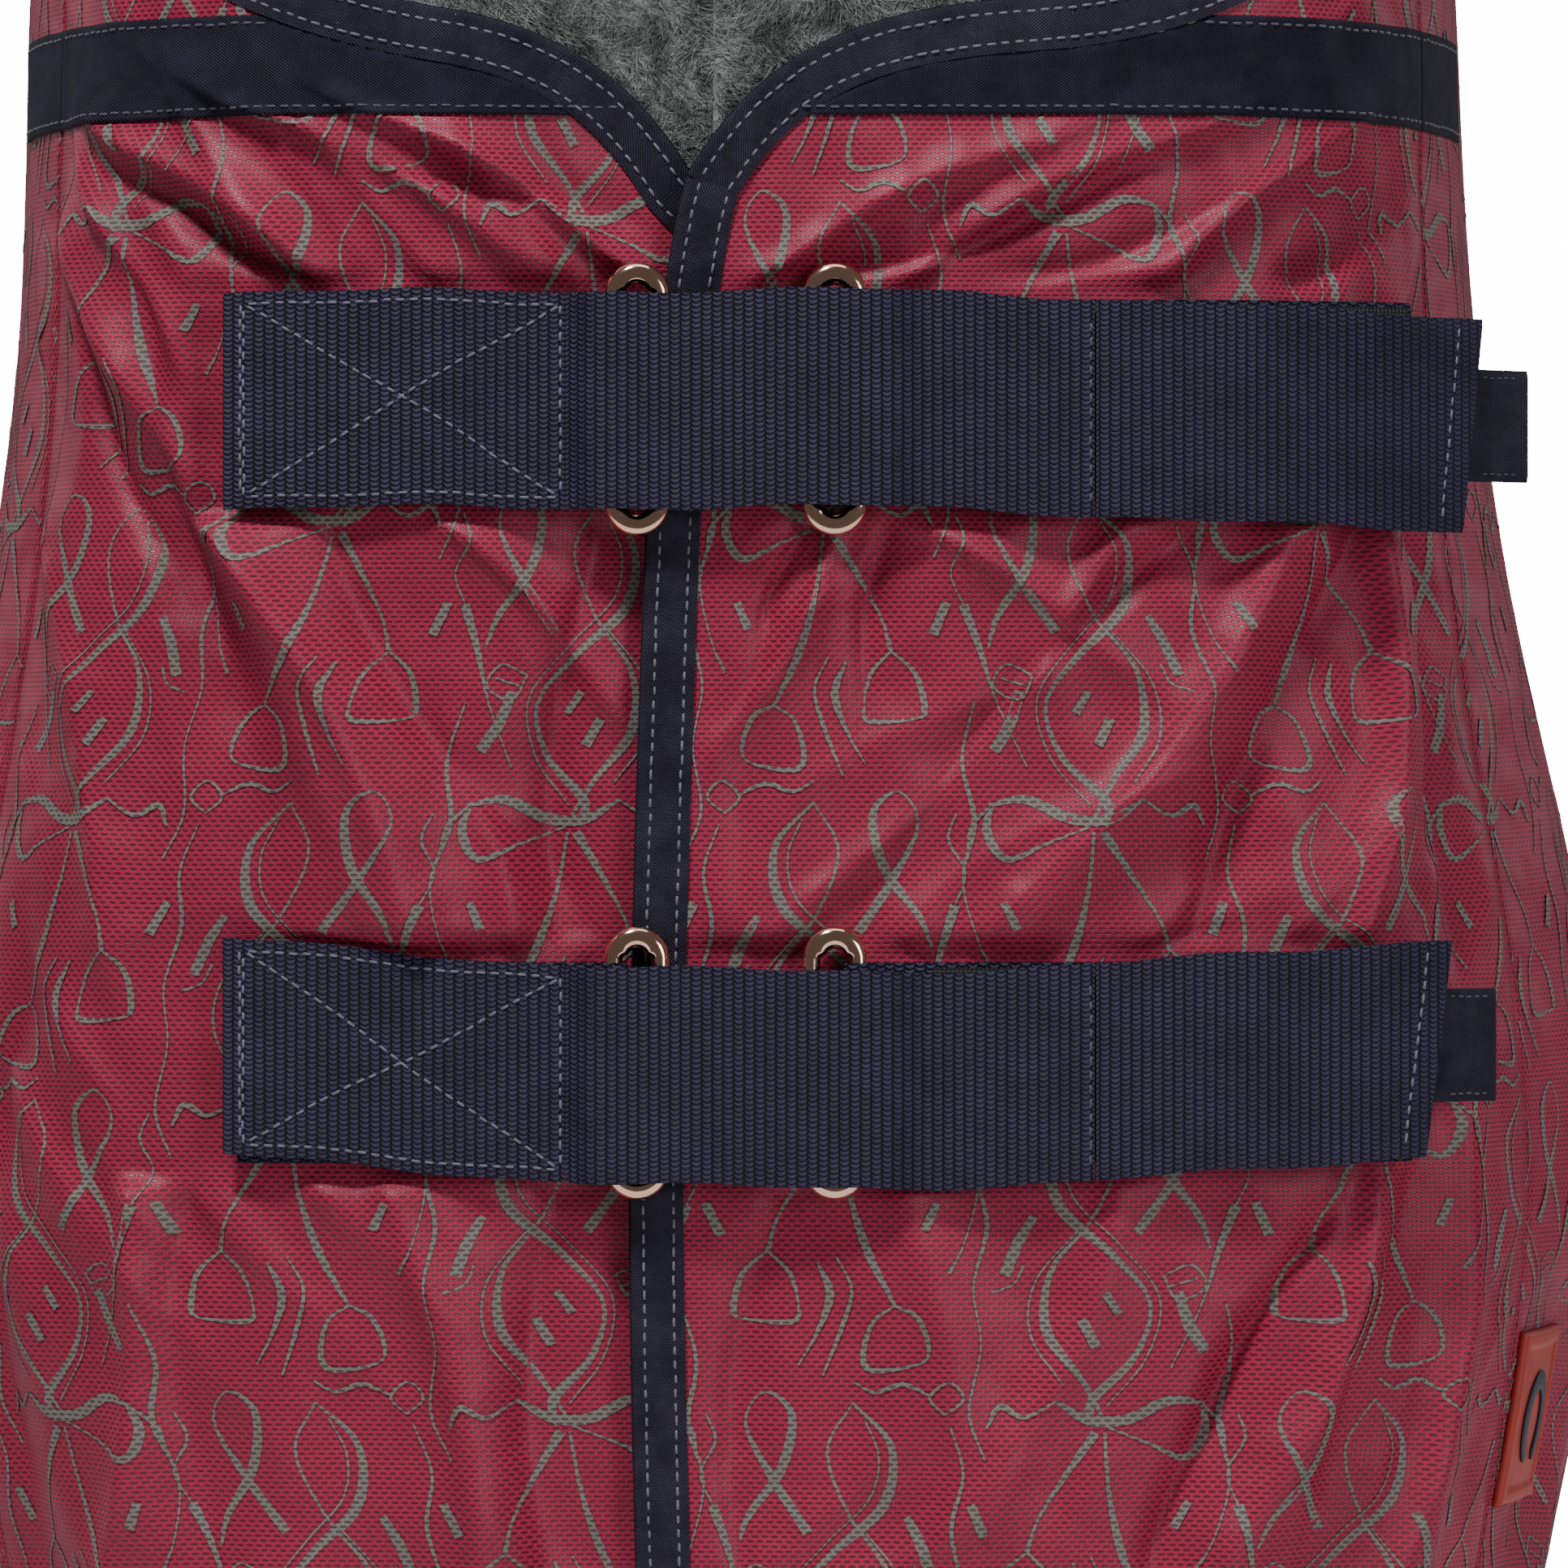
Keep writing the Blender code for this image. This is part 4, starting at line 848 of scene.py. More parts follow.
# A plain drawing of tack: a looped rein, a buckled strap and two stirrup irons on their leathers. Each stroke is
# points (across, up, pen width), all in mm from the motif's middle.
STROKES = (
    # twisted rein
    ((-6, 104, 1.0), (-19, 88, 2.2), (-17, 66, 3.2), (0, 48, 2.4),
     (13, 30, 1.4), (9, 10, 2.2), (-4, -6, 3.0), (-3, -16, 1.6)),
    ((-6, 104, 0.9), (2, 86, 1.2), (-6, 62, 1.2), (-19, 42, 1.8),
     (-20, 20, 3.0), (-8, 2, 2.0), (1, -14, 1.2)),
    # loose loop above
    ((8, 56, 3.0), (20, 76, 2.6), (29, 96, 1.2), (23, 108, 1.0),
     (14, 100, 2.4), (17, 80, 3.0), (28, 62, 2.2), (32, 50, 1.0)),
    # strap end and its keeper
    ((22, 34, 2.8), (26, 22, 3.4), (32, 12, 3.4)),
    ((-34, 40, 3.2), (-30, 52, 3.2), (-25, 62, 2.4)),
    ((-38, 34, 1.0), (-31, 37, 1.0), (-28, 44, 1.0)),
    # buckle with its tongue
    ((17, 40, 1.0), (26, 44, 1.0), (31, 36, 1.0), (22, 31, 1.0), (17, 40, 1.0)),
    ((19, 36, 0.9), (28, 39, 0.9)),
    # knot, with one loop hanging to the side
    ((-16, -6, 1.2), (-5, -13, 3.2), (8, -13, 3.4), (22, -6, 3.0), (35, -8, 1.2)),
    ((2, -16, 1.0), (16, -22, 1.2), (30, -28, 2.4), (36, -18, 2.8), (34, -8, 1.6)),
    # leathers
    ((-2, -18, 3.0), (-11, -34, 2.0), (-19, -50, 1.2), (-22, -62, 1.8)),
    ((1, -18, 1.2), (4, -40, 1.6), (10, -62, 2.6), (19, -82, 1.2)),
    # stirrup irons
    ((-22, -62, 1.0), (-30, -70, 1.8), (-33, -83, 2.2), (-30, -87, 1.0),
     (-14, -88, 2.0), (-12, -82, 1.0), (-15, -70, 1.6), (-22, -62, 1.0)),
    ((19, -82, 1.0), (12, -88, 1.4), (9, -101, 2.0), (13, -106, 2.0),
     (28, -103, 1.0), (30, -96, 1.6), (26, -86, 1.8), (19, -82, 1.0)),
    # inner edge of the twisted rein
    ((-10, 98, 0.8), (-15, 84, 0.9), (-12, 68, 0.9), (2, 52, 0.8),
     (16, 32, 0.8), (13, 10, 0.9), (1, -8, 0.8)),
    ((-10, 58, 0.8), (-24, 38, 0.9), (-25, 18, 1.0), (-14, 0, 0.8)),
    # a second, lighter rein that hangs beside it
    ((38, 30, 0.9), (43, 8, 1.4), (40, -14, 1.8), (45, -36, 1.0), (41, -58, 0.8), (36, -70, 1.4)),
    ((-38, 96, 0.8), (-43, 78, 1.2), (-40, 58, 1.6), (-44, 36, 1.0),
     (-41, 14, 0.8), (-44, -10, 1.2), (-38, -28, 0.9)),
    # cheek rings and the mouthpiece between them
    ((-36, 100, 0.9), (-42, 106, 1.2), (-37, 112, 1.0), (-31, 106, 1.2), (-36, 100, 0.9)),
    ((-31, 107, 0.9), (-22, 111, 1.8), (-13, 108, 1.4), (-6, 112, 0.9)),
    # riding whip with its lash
    ((40, 66, 3.0), (35, 50, 2.2), (30, 30, 0.9), (21, 6, 0.8)),
    ((40, 66, 0.9), (44, 78, 0.8), (39, 90, 1.2), (42, 100, 0.8)),
    # short strap ends
    ((-9, 24, 3.0), (-4, 14, 3.0)),
    ((-2, 34, 2.4), (3, 26, 2.6)),
    ((-42, -44, 2.8), (-37, -56, 3.0)),
    ((32, -44, 2.4), (28, -54, 2.8)),
    # tassel of the knot
    ((34, -8, 0.9), (41, -16, 1.6), (43, -28, 0.8)),
    ((-16, -6, 0.9), (-26, -12, 1.6), (-34, -8, 2.2), (-38, -16, 1.0)),
    # girth end with its two straps
    ((-6, -66, 1.0), (-2, -78, 2.6), (-6, -92, 1.4), (-12, -104, 0.8)),
    ((0, -64, 0.8), (5, -76, 1.2), (2, -90, 1.6), (-4, -108, 0.9)),
)
MOTIF_PITCH = (0.088, 0.222)
PEN = 0.88  # how broad the pen is, in the strokes' own widths
PEN_SWELL = 1.25  # and how much more the broad strokes swell
PEN_STEP = 1.6
PRINT_LIFT = 0.00016


def rounded_path(points):
    """A Catmull-Rom curve through the points."""
    points = np.asarray(points, float)
    ends = np.concatenate([[2 * points[0] - points[1]], points, [2 * points[-1] - points[-2]]])
    t = np.linspace(0, 1, 9)[:-1, None]
    pieces = []
    for a, b, c, d in zip(ends, ends[1:], ends[2:], ends[3:]):
        square, cube = 2 * a - 5 * b + 4 * c - d, 3 * b - a - 3 * c + d
        pieces.append(0.5 * (2 * b + (c - a) * t + square * t**2 + cube * t**3))
    return np.concatenate([*pieces, points[-1:]])


def motif():
    """[(left points, right points)] of each stroke, in metres."""
    made = []
    for stroke in STROKES:
        path = resample(rounded_path(stroke), PEN_STEP)
        path[:, 2] = PEN * path[:, 2] ** PEN_SWELL
        path /= 1000
        run = np.gradient(path[:, :2], axis=0)
        run = unit(run)
        aside = np.stack([-run[:, 1], run[:, 0]], -1) * path[:, 2:] / 2
        made.append((path[:, :2] + aside, path[:, :2] - aside))
    return made


MOTIF = motif()


def print_on(name, low, high, inside, shift=no_tuck):
    """The printed motif over a panel from u low to high, where inside(u, v) holds."""
    verts, faces, uvs, count = [], [], [], 0
    for column in range(math.floor(low / MOTIF_PITCH[0]) - 1, math.ceil(high / MOTIF_PITCH[0]) + 2):
        for row in range(-1, 6):
            centre_u = (column + 0.35) * MOTIF_PITCH[0]
            centre_v = (row + 0.5 * (column % 2) + 0.1) * MOTIF_PITCH[1]
            mirror = 1 if (column + row) % 2 else -1
            for depth, (left, right) in enumerate(MOTIF):
                pair = np.stack([left, right], 1)
                u = centre_u + mirror * pair[..., 0]
                v = centre_v + pair[..., 1]
                good = inside(u, v).all(1)
                good = good[:-1] & good[1:]
                if not good.any():
                    continue
                at = place(u, v, PRINT_LIFT + 0.000012 * depth, shift)
                index = count + np.arange(len(u) * 2).reshape(-1, 2)
                quads = np.stack([index[:-1, 0], index[:-1, 1], index[1:, 1], index[1:, 0]], -1)[good]
                edge = np.cross(at[1:, 1] - at[:-1, 0], at[1:, 0] - at[:-1, 1])[good]
                facing = (edge * normal(u[:-1, 0], v[:-1, 0])[good]).sum(-1) > 0
                faces.append(np.where(facing[:, None], quads, quads[:, ::-1]))
                verts.append(at.reshape(-1, 3))
                uvs.append(np.stack([u, v], -1).reshape(-1, 2))
                count += len(u) * 2
    verts, faces, uvs = np.concatenate(verts), np.concatenate(faces), np.concatenate(uvs)
    used, index = np.unique(faces, return_inverse=True)
    return quads_object(name, verts[used], index.reshape(-1, 4), GREY_PRINT, uvs[used])


def prints():
    """The motif on each panel, clear of its edges."""
    flank, rear = FRONT_ARC + SIDE_LENGTH, FRONT_ARC + BODY_LENGTH
    for side, sign in SIDES:

        def on_front_panel(u, v):
            past = (u - front_edge(side, v)) * sign > PRINT_MARGIN
            below = v < NECKS[side](u) - PRINT_MARGIN
            return past & (sign * u < SEAM - PRINT_GAP) & (v > PRINT_MARGIN) & below

        low, high = (-0.05, SEAM) if side == "left" else (-SEAM, 0.02)
        on_front(print_on(f"{side}_front_print", low, high, on_front_panel, SHIFTS[side]), side, "red_cloth")
        for where, first, last, reach in (
            ("side", SEAM, flank - PRINT_GAP, flank),
            ("hind", flank, rear - PRINT_MARGIN, flank + 0.7),
        ):

            def on_panel(u, v):
                au = sign * u
                top = np.where(au > FRONT_ARC, TOP, side_top(au)) - PRINT_BELOW_SPINE
                return (au > first + PRINT_GAP) & (au < last) & (v > PRINT_MARGIN) & (v < top)

            low, high = sorted((sign * first, sign * reach))
            riding(print_on(f"{side}_{where}_print", low, high, on_panel), "rug_body", "red_cloth")


# --- bindings ---


def binding(name, u, v, inward, shift=no_tuck, slack=0.0010):
    """Twill tape round an edge that runs through (u, v), where inward is the way to the cloth in (u, v). Returns
    the tape and the lines where it is sewn."""
    path = resample(np.stack([u, v], -1), 0.0035)
    u, v = path.T
    inward = np.broadcast_to(np.asarray(inward, float), (len(u), 2))
    along, up = slopes(u, v)
    step = np.gradient(path, axis=0)
    run = along * step[:, :1] + up * step[:, 1:]
    run = unit(run)
    across = along * inward[:, :1] + up * inward[:, 1:]
    across -= run * (across * run).sum(1, keepdims=True)
    across = unit(across)
    uu, uv, vv = (along * along).sum(1), (along * up).sum(1), (up * up).sum(1)
    a, b = (across * along).sum(1), (across * up).sum(1)
    scale = uu * vv - uv * uv
    across_uv = np.stack([(a * vv - b * uv) / scale, (b * uu - a * uv) / scale], -1)
    near, far, width, rows = SEAT + TRIM, SEAT * 0.6, BINDING_WIDTH, BINDING_ROWS
    half_turn = np.linspace(math.pi / 2, -math.pi / 2, 7)[1:-1]
    round_edge = [(-near * math.cos(t), near * math.sin(t)) for t in half_turn]
    faces = np.linspace(0, width, 11)
    dent = lambda e: sum(0.00032 * math.exp(-(((e - row) / 0.0011) ** 2)) for row in rows)
    outer = [(e, near - dent(e) - 0.0003 * (e / width) ** 8) for e in faces[::-1]]
    under = -CLOTH - slack
    inner = [(e, under - near) for e in np.linspace(0, width, 6)]
    side = [(x, under / 2 + z / near * (2 * near - under) / 2) for x, z in round_edge]
    outline = outer + side + inner
    inside = [(e, under - far) for e in np.linspace(width, 0, 6)] + [(-far, (far + under - far) / 2)]
    inside += [(e, far) for e in np.linspace(0, width, 11)]
    section = outline + inside
    if len(section) % 2:
        section.insert(len(outline), (width + 0.0001, under - (near + far) / 2))
    e, d = np.array(section).T
    at_u = u[:, None] + e[None, :] * across_uv[:, :1]
    at_v = np.clip(v[:, None] + e[None, :] * across_uv[:, 1:], 0, TOP)
    lift = 0.0003 * np.sin(np.arange(len(u)) * 0.35)[:, None]
    sections = place(at_u, at_v, d[None, :] + lift * (d > 0), shift)
    lengths = run_of(point(u, v))
    across_tape = (e + np.where(d > 0, 0, 0.03))[None, :]
    uv_map = np.stack(np.broadcast_arrays(lengths[:, None], across_tape), -1)
    # The bindings use the brightened twill, which is painted light.
    made = tube(name, sections, LIT_NAVY_TWILL, uv_map, sharp=50)
    sewn = []
    for row in rows:
        spots = path + row * across_uv
        spots[:, 1] = np.clip(spots[:, 1], 0, TOP)
        sewn.append(sewn_line(spots[:, 0], spots[:, 1], near - 0.00025, shift))
    return made, sewn


def front_trim():
    """The bindings round the front panels, with their stitches."""
    for side, sign in SIDES:
        neck, seam = NECKS[side], sign * (SEAM - TRIM_GAP)
        top, bottom = (float(front_edge(side, np.array(v))) for v in (TOP, 0.0))
        v = np.linspace(0.0005, float(neck(np.array(top))) - 0.001, 60)
        neck_u = top + (seam - top) * np.linspace(0, 1, 200) ** 1.6
        hem_u = np.linspace(bottom, seam, 60)
        edge_thread = DARK_THREAD if side == "right" else LAVENDER
        for where, node, u, v, inward, slack, thread_look in (
            ("edge", "front_binding", front_edge(side, v), v, (sign, 0), 0.0010, edge_thread),
            ("neck", "neck_binding", neck_u, neck(neck_u), (0, -1), 0.0022, LAVENDER),
            ("hem", "front_hem", hem_u, 0 * hem_u, (0, 1), 0.0010, LAVENDER),
        ):
            made, sewn = binding(f"{side}_{where}_tape", u, v, inward, SHIFTS[side], slack)
            on_front(made, side, "navy_tape", f"{side}_{node}")
            on_front(stitches(f"{side}_{where}_stitches", sewn, thread_look), side, "navy_tape")


def body_trim():
    """The bindings of the hem, the rear edge and the collar."""
    rear = FRONT_ARC + BODY_LENGTH
    for side, sign in SIDES:
        u = sign * np.linspace(SEAM + TRIM_GAP, rear, 220)
        v = np.linspace(BINDING_WIDTH + 0.0005, TOP - SEAM_GAP, 120)
        collar_u, collar_v = neck_path()
        collar_u[0] += TRIM_GAP
        collar_v[-1] -= SEAM_GAP
        lines = []
        for where, node, us, vs, inward, slack in (
            ("body_hem", "hem_binding", u, 0 * u, (0, 1), 0.0010),
            ("rear", "rear_binding", sign * rear + 0 * v, v, (-sign, 0), 0.0010),
            ("collar", "collar_binding", sign * collar_u, collar_v, (sign, -1), 0.005),
        ):
            made, sewn = binding(f"{side}_{where}_tape", us, vs, inward, slack=slack)
            riding(made, "rug_body", "navy_tape", f"{side}_{node}")
            lines += sewn
        riding(stitches(f"{side}_body_tape_stitches", lines, LAVENDER), "rug_body", "navy_tape")


def band(side, where, us, low):
    """One band, from v = low up to its own height or to the neck binding."""
    u, share = us[None, :], np.linspace(0, 1, 24)[:, None]
    shift, top, under = no_tuck, low + BAND_HEIGHT + 0 * u, 9 + 0 * u
    if where == "front":
        neck, shift = NECKS[side](u), SHIFTS[side]
        top = np.minimum(top, neck - 0.004)
        # it thins out under the binding
        under = neck - BINDING_WIDTH * np.sqrt(1 + np.gradient(neck[0], us)[None, :] ** 2)
    u, v = u + 0 * share, low + (top - low) * share
    free = 1 - smooth((v - under + 0.0012) / 0.0010)
    outer = place(u, v, 0.00026 + (SEAT + TRIM - 0.00026) * free, shift)
    inner = place(u, v, 0.00010 + (SEAT * 0.6 - 0.00010) * free, shift)
    made = shell(f"{side}_{where}_band_tape", inner, outer, NAVY_TWILL, np.stack([u, v], -1))
    BAND_GRIDS[side, where] = u, v
    lines = [sewn_line(u[0], v[0] + 0.003, SEAT + TRIM, shift)]
    clear = free[-3] > 0.9
    if clear.sum() > 4:
        lines.append(sewn_line(u[-1][clear], v[-1][clear] - 0.003, SEAT + TRIM, shift))
    threads = stitches(f"{side}_{where}_band_stitches", lines, DARK_THREAD)
    for obj, nodes in ((made, [f"{side}_{where}_band"]), (threads, [])):
        if where == "front":
            on_front(obj, side, "navy_tape", *nodes)
        else:
            riding(obj, "rug_body", "navy_tape", *nodes)


def bands():
    """Wide navy bands below the neckline, sewn along both edges."""
    low = float(v_of(BAND_TOP)) - BAND_HEIGHT
    for side, sign in SIDES:
        # the front one starts where the neck binding covers its lower edge
        tries = sign * np.linspace(0.02, 0.12, 400)
        start = float(tries[np.argmax(NECKS[side](tries) - 0.008 > low)])
        band(side, "front", np.linspace(start, sign * (SEAM - TRIM_GAP), 120), low)
        band(side, "side", sign * np.linspace(SEAM + TRIM_GAP, SEAM + BAND_BACK, 30), low)


def seams():
    """Stitching beside the shoulder seams and the seams between side and hind panels."""
    for side, sign in SIDES:
        v = np.linspace(0.022, float(left_neck(np.array(SEAM))) - 0.024, 80)
        lines = [sewn_line(sign * (SEAM + 0.004) + 0 * v, v, 0.0)]
        riding(stitches(f"{side}_shoulder_stitches", lines, RED_THREAD), "rug_body", "red_cloth")
        v = np.linspace(0.022, TOP - 0.03, 120)
        lines = [sewn_line(sign * (FRONT_ARC + SIDE_LENGTH + e) + 0 * v, v, 0.0) for e in (-0.004, 0.004)]
        riding(stitches(f"{side}_flank_stitches", lines, RED_THREAD), "rug_body", "red_cloth")


# --- fleece ---


def fleece_piece(name, u, v, back, shift=no_tuck, ruffle=0.0012):
    """A pile facing, lumpy on the face that shows in the V."""
    wave = np.sin(u * 310 + 3 * np.sin(v * 240)) * np.sin(v * 350 + 2 * np.sin(u * 200))
    lump = ruffle * (0.5 * wave + 0.5 * RNG.random(u.shape))
    return cloth_sheet(name, u, v, FLEECE_GREY, back - FLEECE, back + lump, shift)


def tufts(name, u, v, d, length, shift=no_tuck):
    """Short curved fibres standing on the fleece, as thin three-sided blades."""
    count = len(u)
    root = place(u, v, d, shift)
    out = normal(u, v)
    lean = RNG.normal(0, 1, (count, 3)) * [1.0, 0.25, 1.0] + [0, 0, -0.35]
    swirl = np.stack([np.sin(u * 90 + 4 * np.sin(v * 70)), 0 * u, np.cos(v * 80 + 3 * np.sin(u * 60))], -1)
    lean = lean * 0.55 + swirl * 0.8
    lean = unit(lean)
    size = length * (0.6 + 0.8 * RNG.random(count))[:, None]
    thick = 0.00013 + 0.00010 * RNG.random(count)[:, None]
    aside = np.cross(out, lean)
    aside = unit(aside)
    rings = []
    for share, width in ((0, 1.0), (0.4, 0.9), (0.8, 0.5), (1.0, 0.12)):
        middle = root + lean * size * share + out * size * (0.55 * share - 0.42 * share**2)
        corners = ((-1, 0), (1, 0), (0.3, 1), (-0.3, 1))
        rings.append(np.stack([middle + (aside * a + out * b) * thick * width for a, b in corners], 1))
    verts = np.stack(rings, 1).reshape(-1, 3)
    faces = (tube_faces(4, 4)[None] + np.arange(count)[:, None, None] * 16).reshape(-1, 4)
    return quads_object(name, verts, outward(verts, faces), FLEECE_GREY)


def fleeces():
    top, bottom = float(v_of(FLEECE_TOP)), float(v_of(FLEECE_BOTTOM))
    back = -CLOTH - 2 * SEAT - TRIM - 0.0032
    for side, sign in SIDES:
        shift = SHIFTS[side]
        first, last = (-0.010, 0.160) if side == "left" else (0.018, -0.160)
        us = np.linspace(first, last, 110)[None, :]
        lows = np.where(sign * us > (0.010 if side == "left" else -1), bottom, float(v_of(APEX[1] + 0.006)))
        share = np.linspace(0, 1, 80)[:, None]
        u, v = us + 0 * share, lows + (top - lows) * share
        made = fleece_piece(f"{side}_neck_pile", u, v, back, shift)
        PILE_GRIDS[side] = u, v
        riding(made, f"{side}_front", "grey_fleece", f"{side}_neck_fleece")
        spots_u = first + (last - first) * RNG.random(NECK_TUFTS)
        floor = np.maximum(NECKS[side](spots_u) - 0.012, float(v_of(APEX[1])) - 0.004)
        spots_v = floor + (top - floor) * RNG.random(NECK_TUFTS)
        made = tufts(f"{side}_neck_tufts", spots_u, spots_v, back + 0.0004, NECK_TUFT, shift)
        riding(made, f"{side}_front", "grey_fleece")


# --- straps, keepers, rings ---

CHEST_Y = -CHEST_REACH
LEG = SEAT + WEBBING
OVER_RING = RING_STAND + RING_WIRE / 2 + RING_PLAY + WEBBING + SEAT


def chest_y(x, z):
    v = v_of(z)
    x = np.where(np.abs(x) < 1e-6, 1e-6, x)
    return point(x * x / np.abs(point(x, v)[..., 0]) * np.sign(x), v)[..., 1]


def stiff_y(x, z):
    return CHEST_Y + STRAP_FOLLOW * (chest_y(x, z) - CHEST_Y)


def strap_middle(which, x):
    share = (x - STRAP_START) / (STRAP_ENDS[which] - STRAP_START)
    if which == "upper":
        return STRAP_HEIGHTS[which] - SAG[which] * smooth(2 * share - 1)
    return STRAP_HEIGHTS[which] + SAG[which] * (0.5 - np.sin(math.pi * np.clip(share, 0, 1)))


def strap_stand(x):
    low, right = SEAT + 2 * LEG, SEAT + 2 * LEG + 2 * (TAPE + SEAT)
    left_rise = smooth((x - STRAP_STITCH) / 0.012)
    fall = smooth((x - (RING_X[1] + RING_WIDTH / 2 + 0.006)) / 0.016)
    return low + (OVER_RING - low) * left_rise + (right - OVER_RING) * fall


def plan_offset(line, distance):
    """A plan polyline moved away from the horse."""
    run = np.gradient(line, axis=0)
    run = unit(run)
    return line - distance * np.stack([-run[:, 1], run[:, 0]], -1)


def ribbon(name, plan, height, thick, look, rows=29, soft=0.0022, sharp=60):
    """Webbing on edge, with rounded edges: plan(share) is its (x, y) polyline, height(x, share) its z."""
    inner, outer, uv = [], [], []
    for share in np.linspace(0, 1, rows):
        line = plan(share)
        width = abs(height(line[0, 0], 1.0) - height(line[0, 0], 0.0))
        rim = min(share, 1 - share) * width
        half = thick / 2 * (0.35 + 0.65 * math.sqrt(min(1, rim / soft + 0.05)))
        z, run = height(line[:, 0], share), run_of(line)
        inner.append(np.column_stack([plan_offset(line, -half), z]))
        outer.append(np.column_stack([plan_offset(line, half), z]))
        uv.append(np.column_stack([line[0, 0] + run, 0 * run + width * share]))
    return shell(name, np.array(inner), np.array(outer), look, np.array(uv), sharp)


def strap_plan(which, start, end, stand, slant=0.0):
    def plan(share):
        last = end + slant * (2 * share - 1)
        x = np.linspace(start, last, max(4, round((end - start) / 0.0025)))
        z = STRAP_HEIGHTS[which]
        return np.column_stack([x, stiff_y(x, z + 0 * x) - stand(x)])

    return plan


def strap_height(which, width):
    phase = {"upper": 0.0, "lower": 1.7}[which]

    def height(x, share):
        wave = 0.0010 * np.sin(x * 38 + phase) + 0.0005 * np.sin(x * 97 + 2 * phase)
        return strap_middle(which, x) + width * (share - 0.5) + wave * (width > 0.06)

    return height


def strap_face(which, x, share):
    """[(point, outward)] on the strap's front face."""
    z = strap_height(which, WEBBING_WIDTH)(x, share)
    y = stiff_y(x, STRAP_HEIGHTS[which] + 0 * x) - strap_stand(x) - WEBBING
    zero = 0 * x
    return np.column_stack([x, y, z, zero, zero - 1, zero])


def straight(which, first, last, step=0.002):
    """A stitched line on a strap's face between two (x, share of its height)."""
    (x0, s0), (x1, s1) = first, last
    count = max(2, round(math.hypot(x1 - x0, (s1 - s0) * WEBBING_WIDTH) / step))
    t = np.linspace(0, 1, count)
    return strap_face(which, x0 + (x1 - x0) * t, s0 + (s1 - s0) * t)


def straps():
    """Each chest strap: root, free run and end, with loop tape behind, a pull tab and stitches."""
    for which in STRAPS:
        end, slant, height = STRAP_ENDS[which], SLANT[which], STRAP_HEIGHTS[which]
        run_body, end_body, hold = f"{which}_strap", f"{which}_strap_end", end - TAB_HOLD - slant
        full, tape, tab = (strap_height(which, width) for width in (WEBBING_WIDTH, TAPE_WIDTH, TAB_HEIGHT))
        # how far a piece's middle lies behind the strap's back, its height, thickness, look and slot
        web = (-WEBBING / 2, full, WEBBING, NAVY_WEB, "navy_webbing")
        pile = (SEAT + TAPE / 2, tape, TAPE, BLACK_TAPE, "black_tape")
        # The pull tab uses the brightened twill, which is painted light.
        folded = (2 * SEAT + TAB_TAPE, tab, 2 * TAB_TAPE, LIT_NAVY_TWILL, "navy_tape")
        for name, node, body, first, last, made_of, lean, rows in (
            ("webbing_root", "strap_root", "right_front", STRAP_START, STRAP_STITCH - CUT, web, 0.0, 29),
            ("webbing_run", "strap", run_body, STRAP_STITCH + CUT, STRAP_FOLD - CUT, web, 0.0, 29),
            ("webbing_end", "strap_end", end_body, STRAP_FOLD + CUT, end, web, slant, 29),
            ("loop_pile", "loop_tape", run_body, TAPE_FROM, STRAP_FOLD - CUT, pile, 0.0, 29),
            ("end_loop_pile", "end_loop_tape", end_body, STRAP_FOLD + CUT, hold - 2 * SEAT, pile, 0.0, 29),
            ("tab_tape", "pull_tab", end_body, hold, end + TAB_REACH, folded, 0.0, 17),
        ):
            behind, heights, thick, look, slot = made_of
            plan = strap_plan(which, first, last, lambda x, behind=behind: strap_stand(x) - behind, lean)
            made = ribbon(f"{which}_{name}", plan, heights, thick, look, rows)
            riding(made, body, slot, f"{which}_{node}")
        left, right, low, high = STRAP_START + 0.0075, STRAP_STITCH - 0.0018, 0.055, 0.945
        outer, fold, hem, lean = left - 0.0013, STRAP_FOLD - 0.0016, end - 0.0085, slant * 0.92
        hem_line = ((hem - lean, 0.04), (hem + lean, 0.96))
        a, b, c, d = (left, low), (right, low), (right, high), (left, high)
        box = ((a, b), (b, c), (c, d), (d, a), (a, c), (b, d), ((outer, low), (outer, high)))
        x = np.linspace(end + 0.003, end + TAB_REACH - 0.002, 12)
        y = stiff_y(x, height + 0 * x) - strap_stand(x) + 2 * SEAT
        tab_rows = [np.column_stack([x, y, tab(x, share), 0 * x, 0 * x - 1, 0 * x]) for share in (0.07, 0.93)]
        on_face = lambda lines: [straight(which, *line) for line in lines]
        for name, lines, look, body, slot, sizes in (
            ("root", on_face(box), LAVENDER, "right_front", "navy_webbing", (0.0050, 0.0034)),
            ("run", on_face([((fold, 0.04), (fold, 0.96))]), DARK_THREAD, run_body, "navy_webbing", ()),
            ("end", on_face([hem_line]), LAVENDER, end_body, "navy_webbing", ()),
            ("tab", tab_rows, DARK_THREAD, end_body, "navy_tape", (0.0036, 0.0024, 0.0004)),
        ):
            riding(stitches(f"{which}_{name}_stitches", lines, look, *sizes), body, slot)


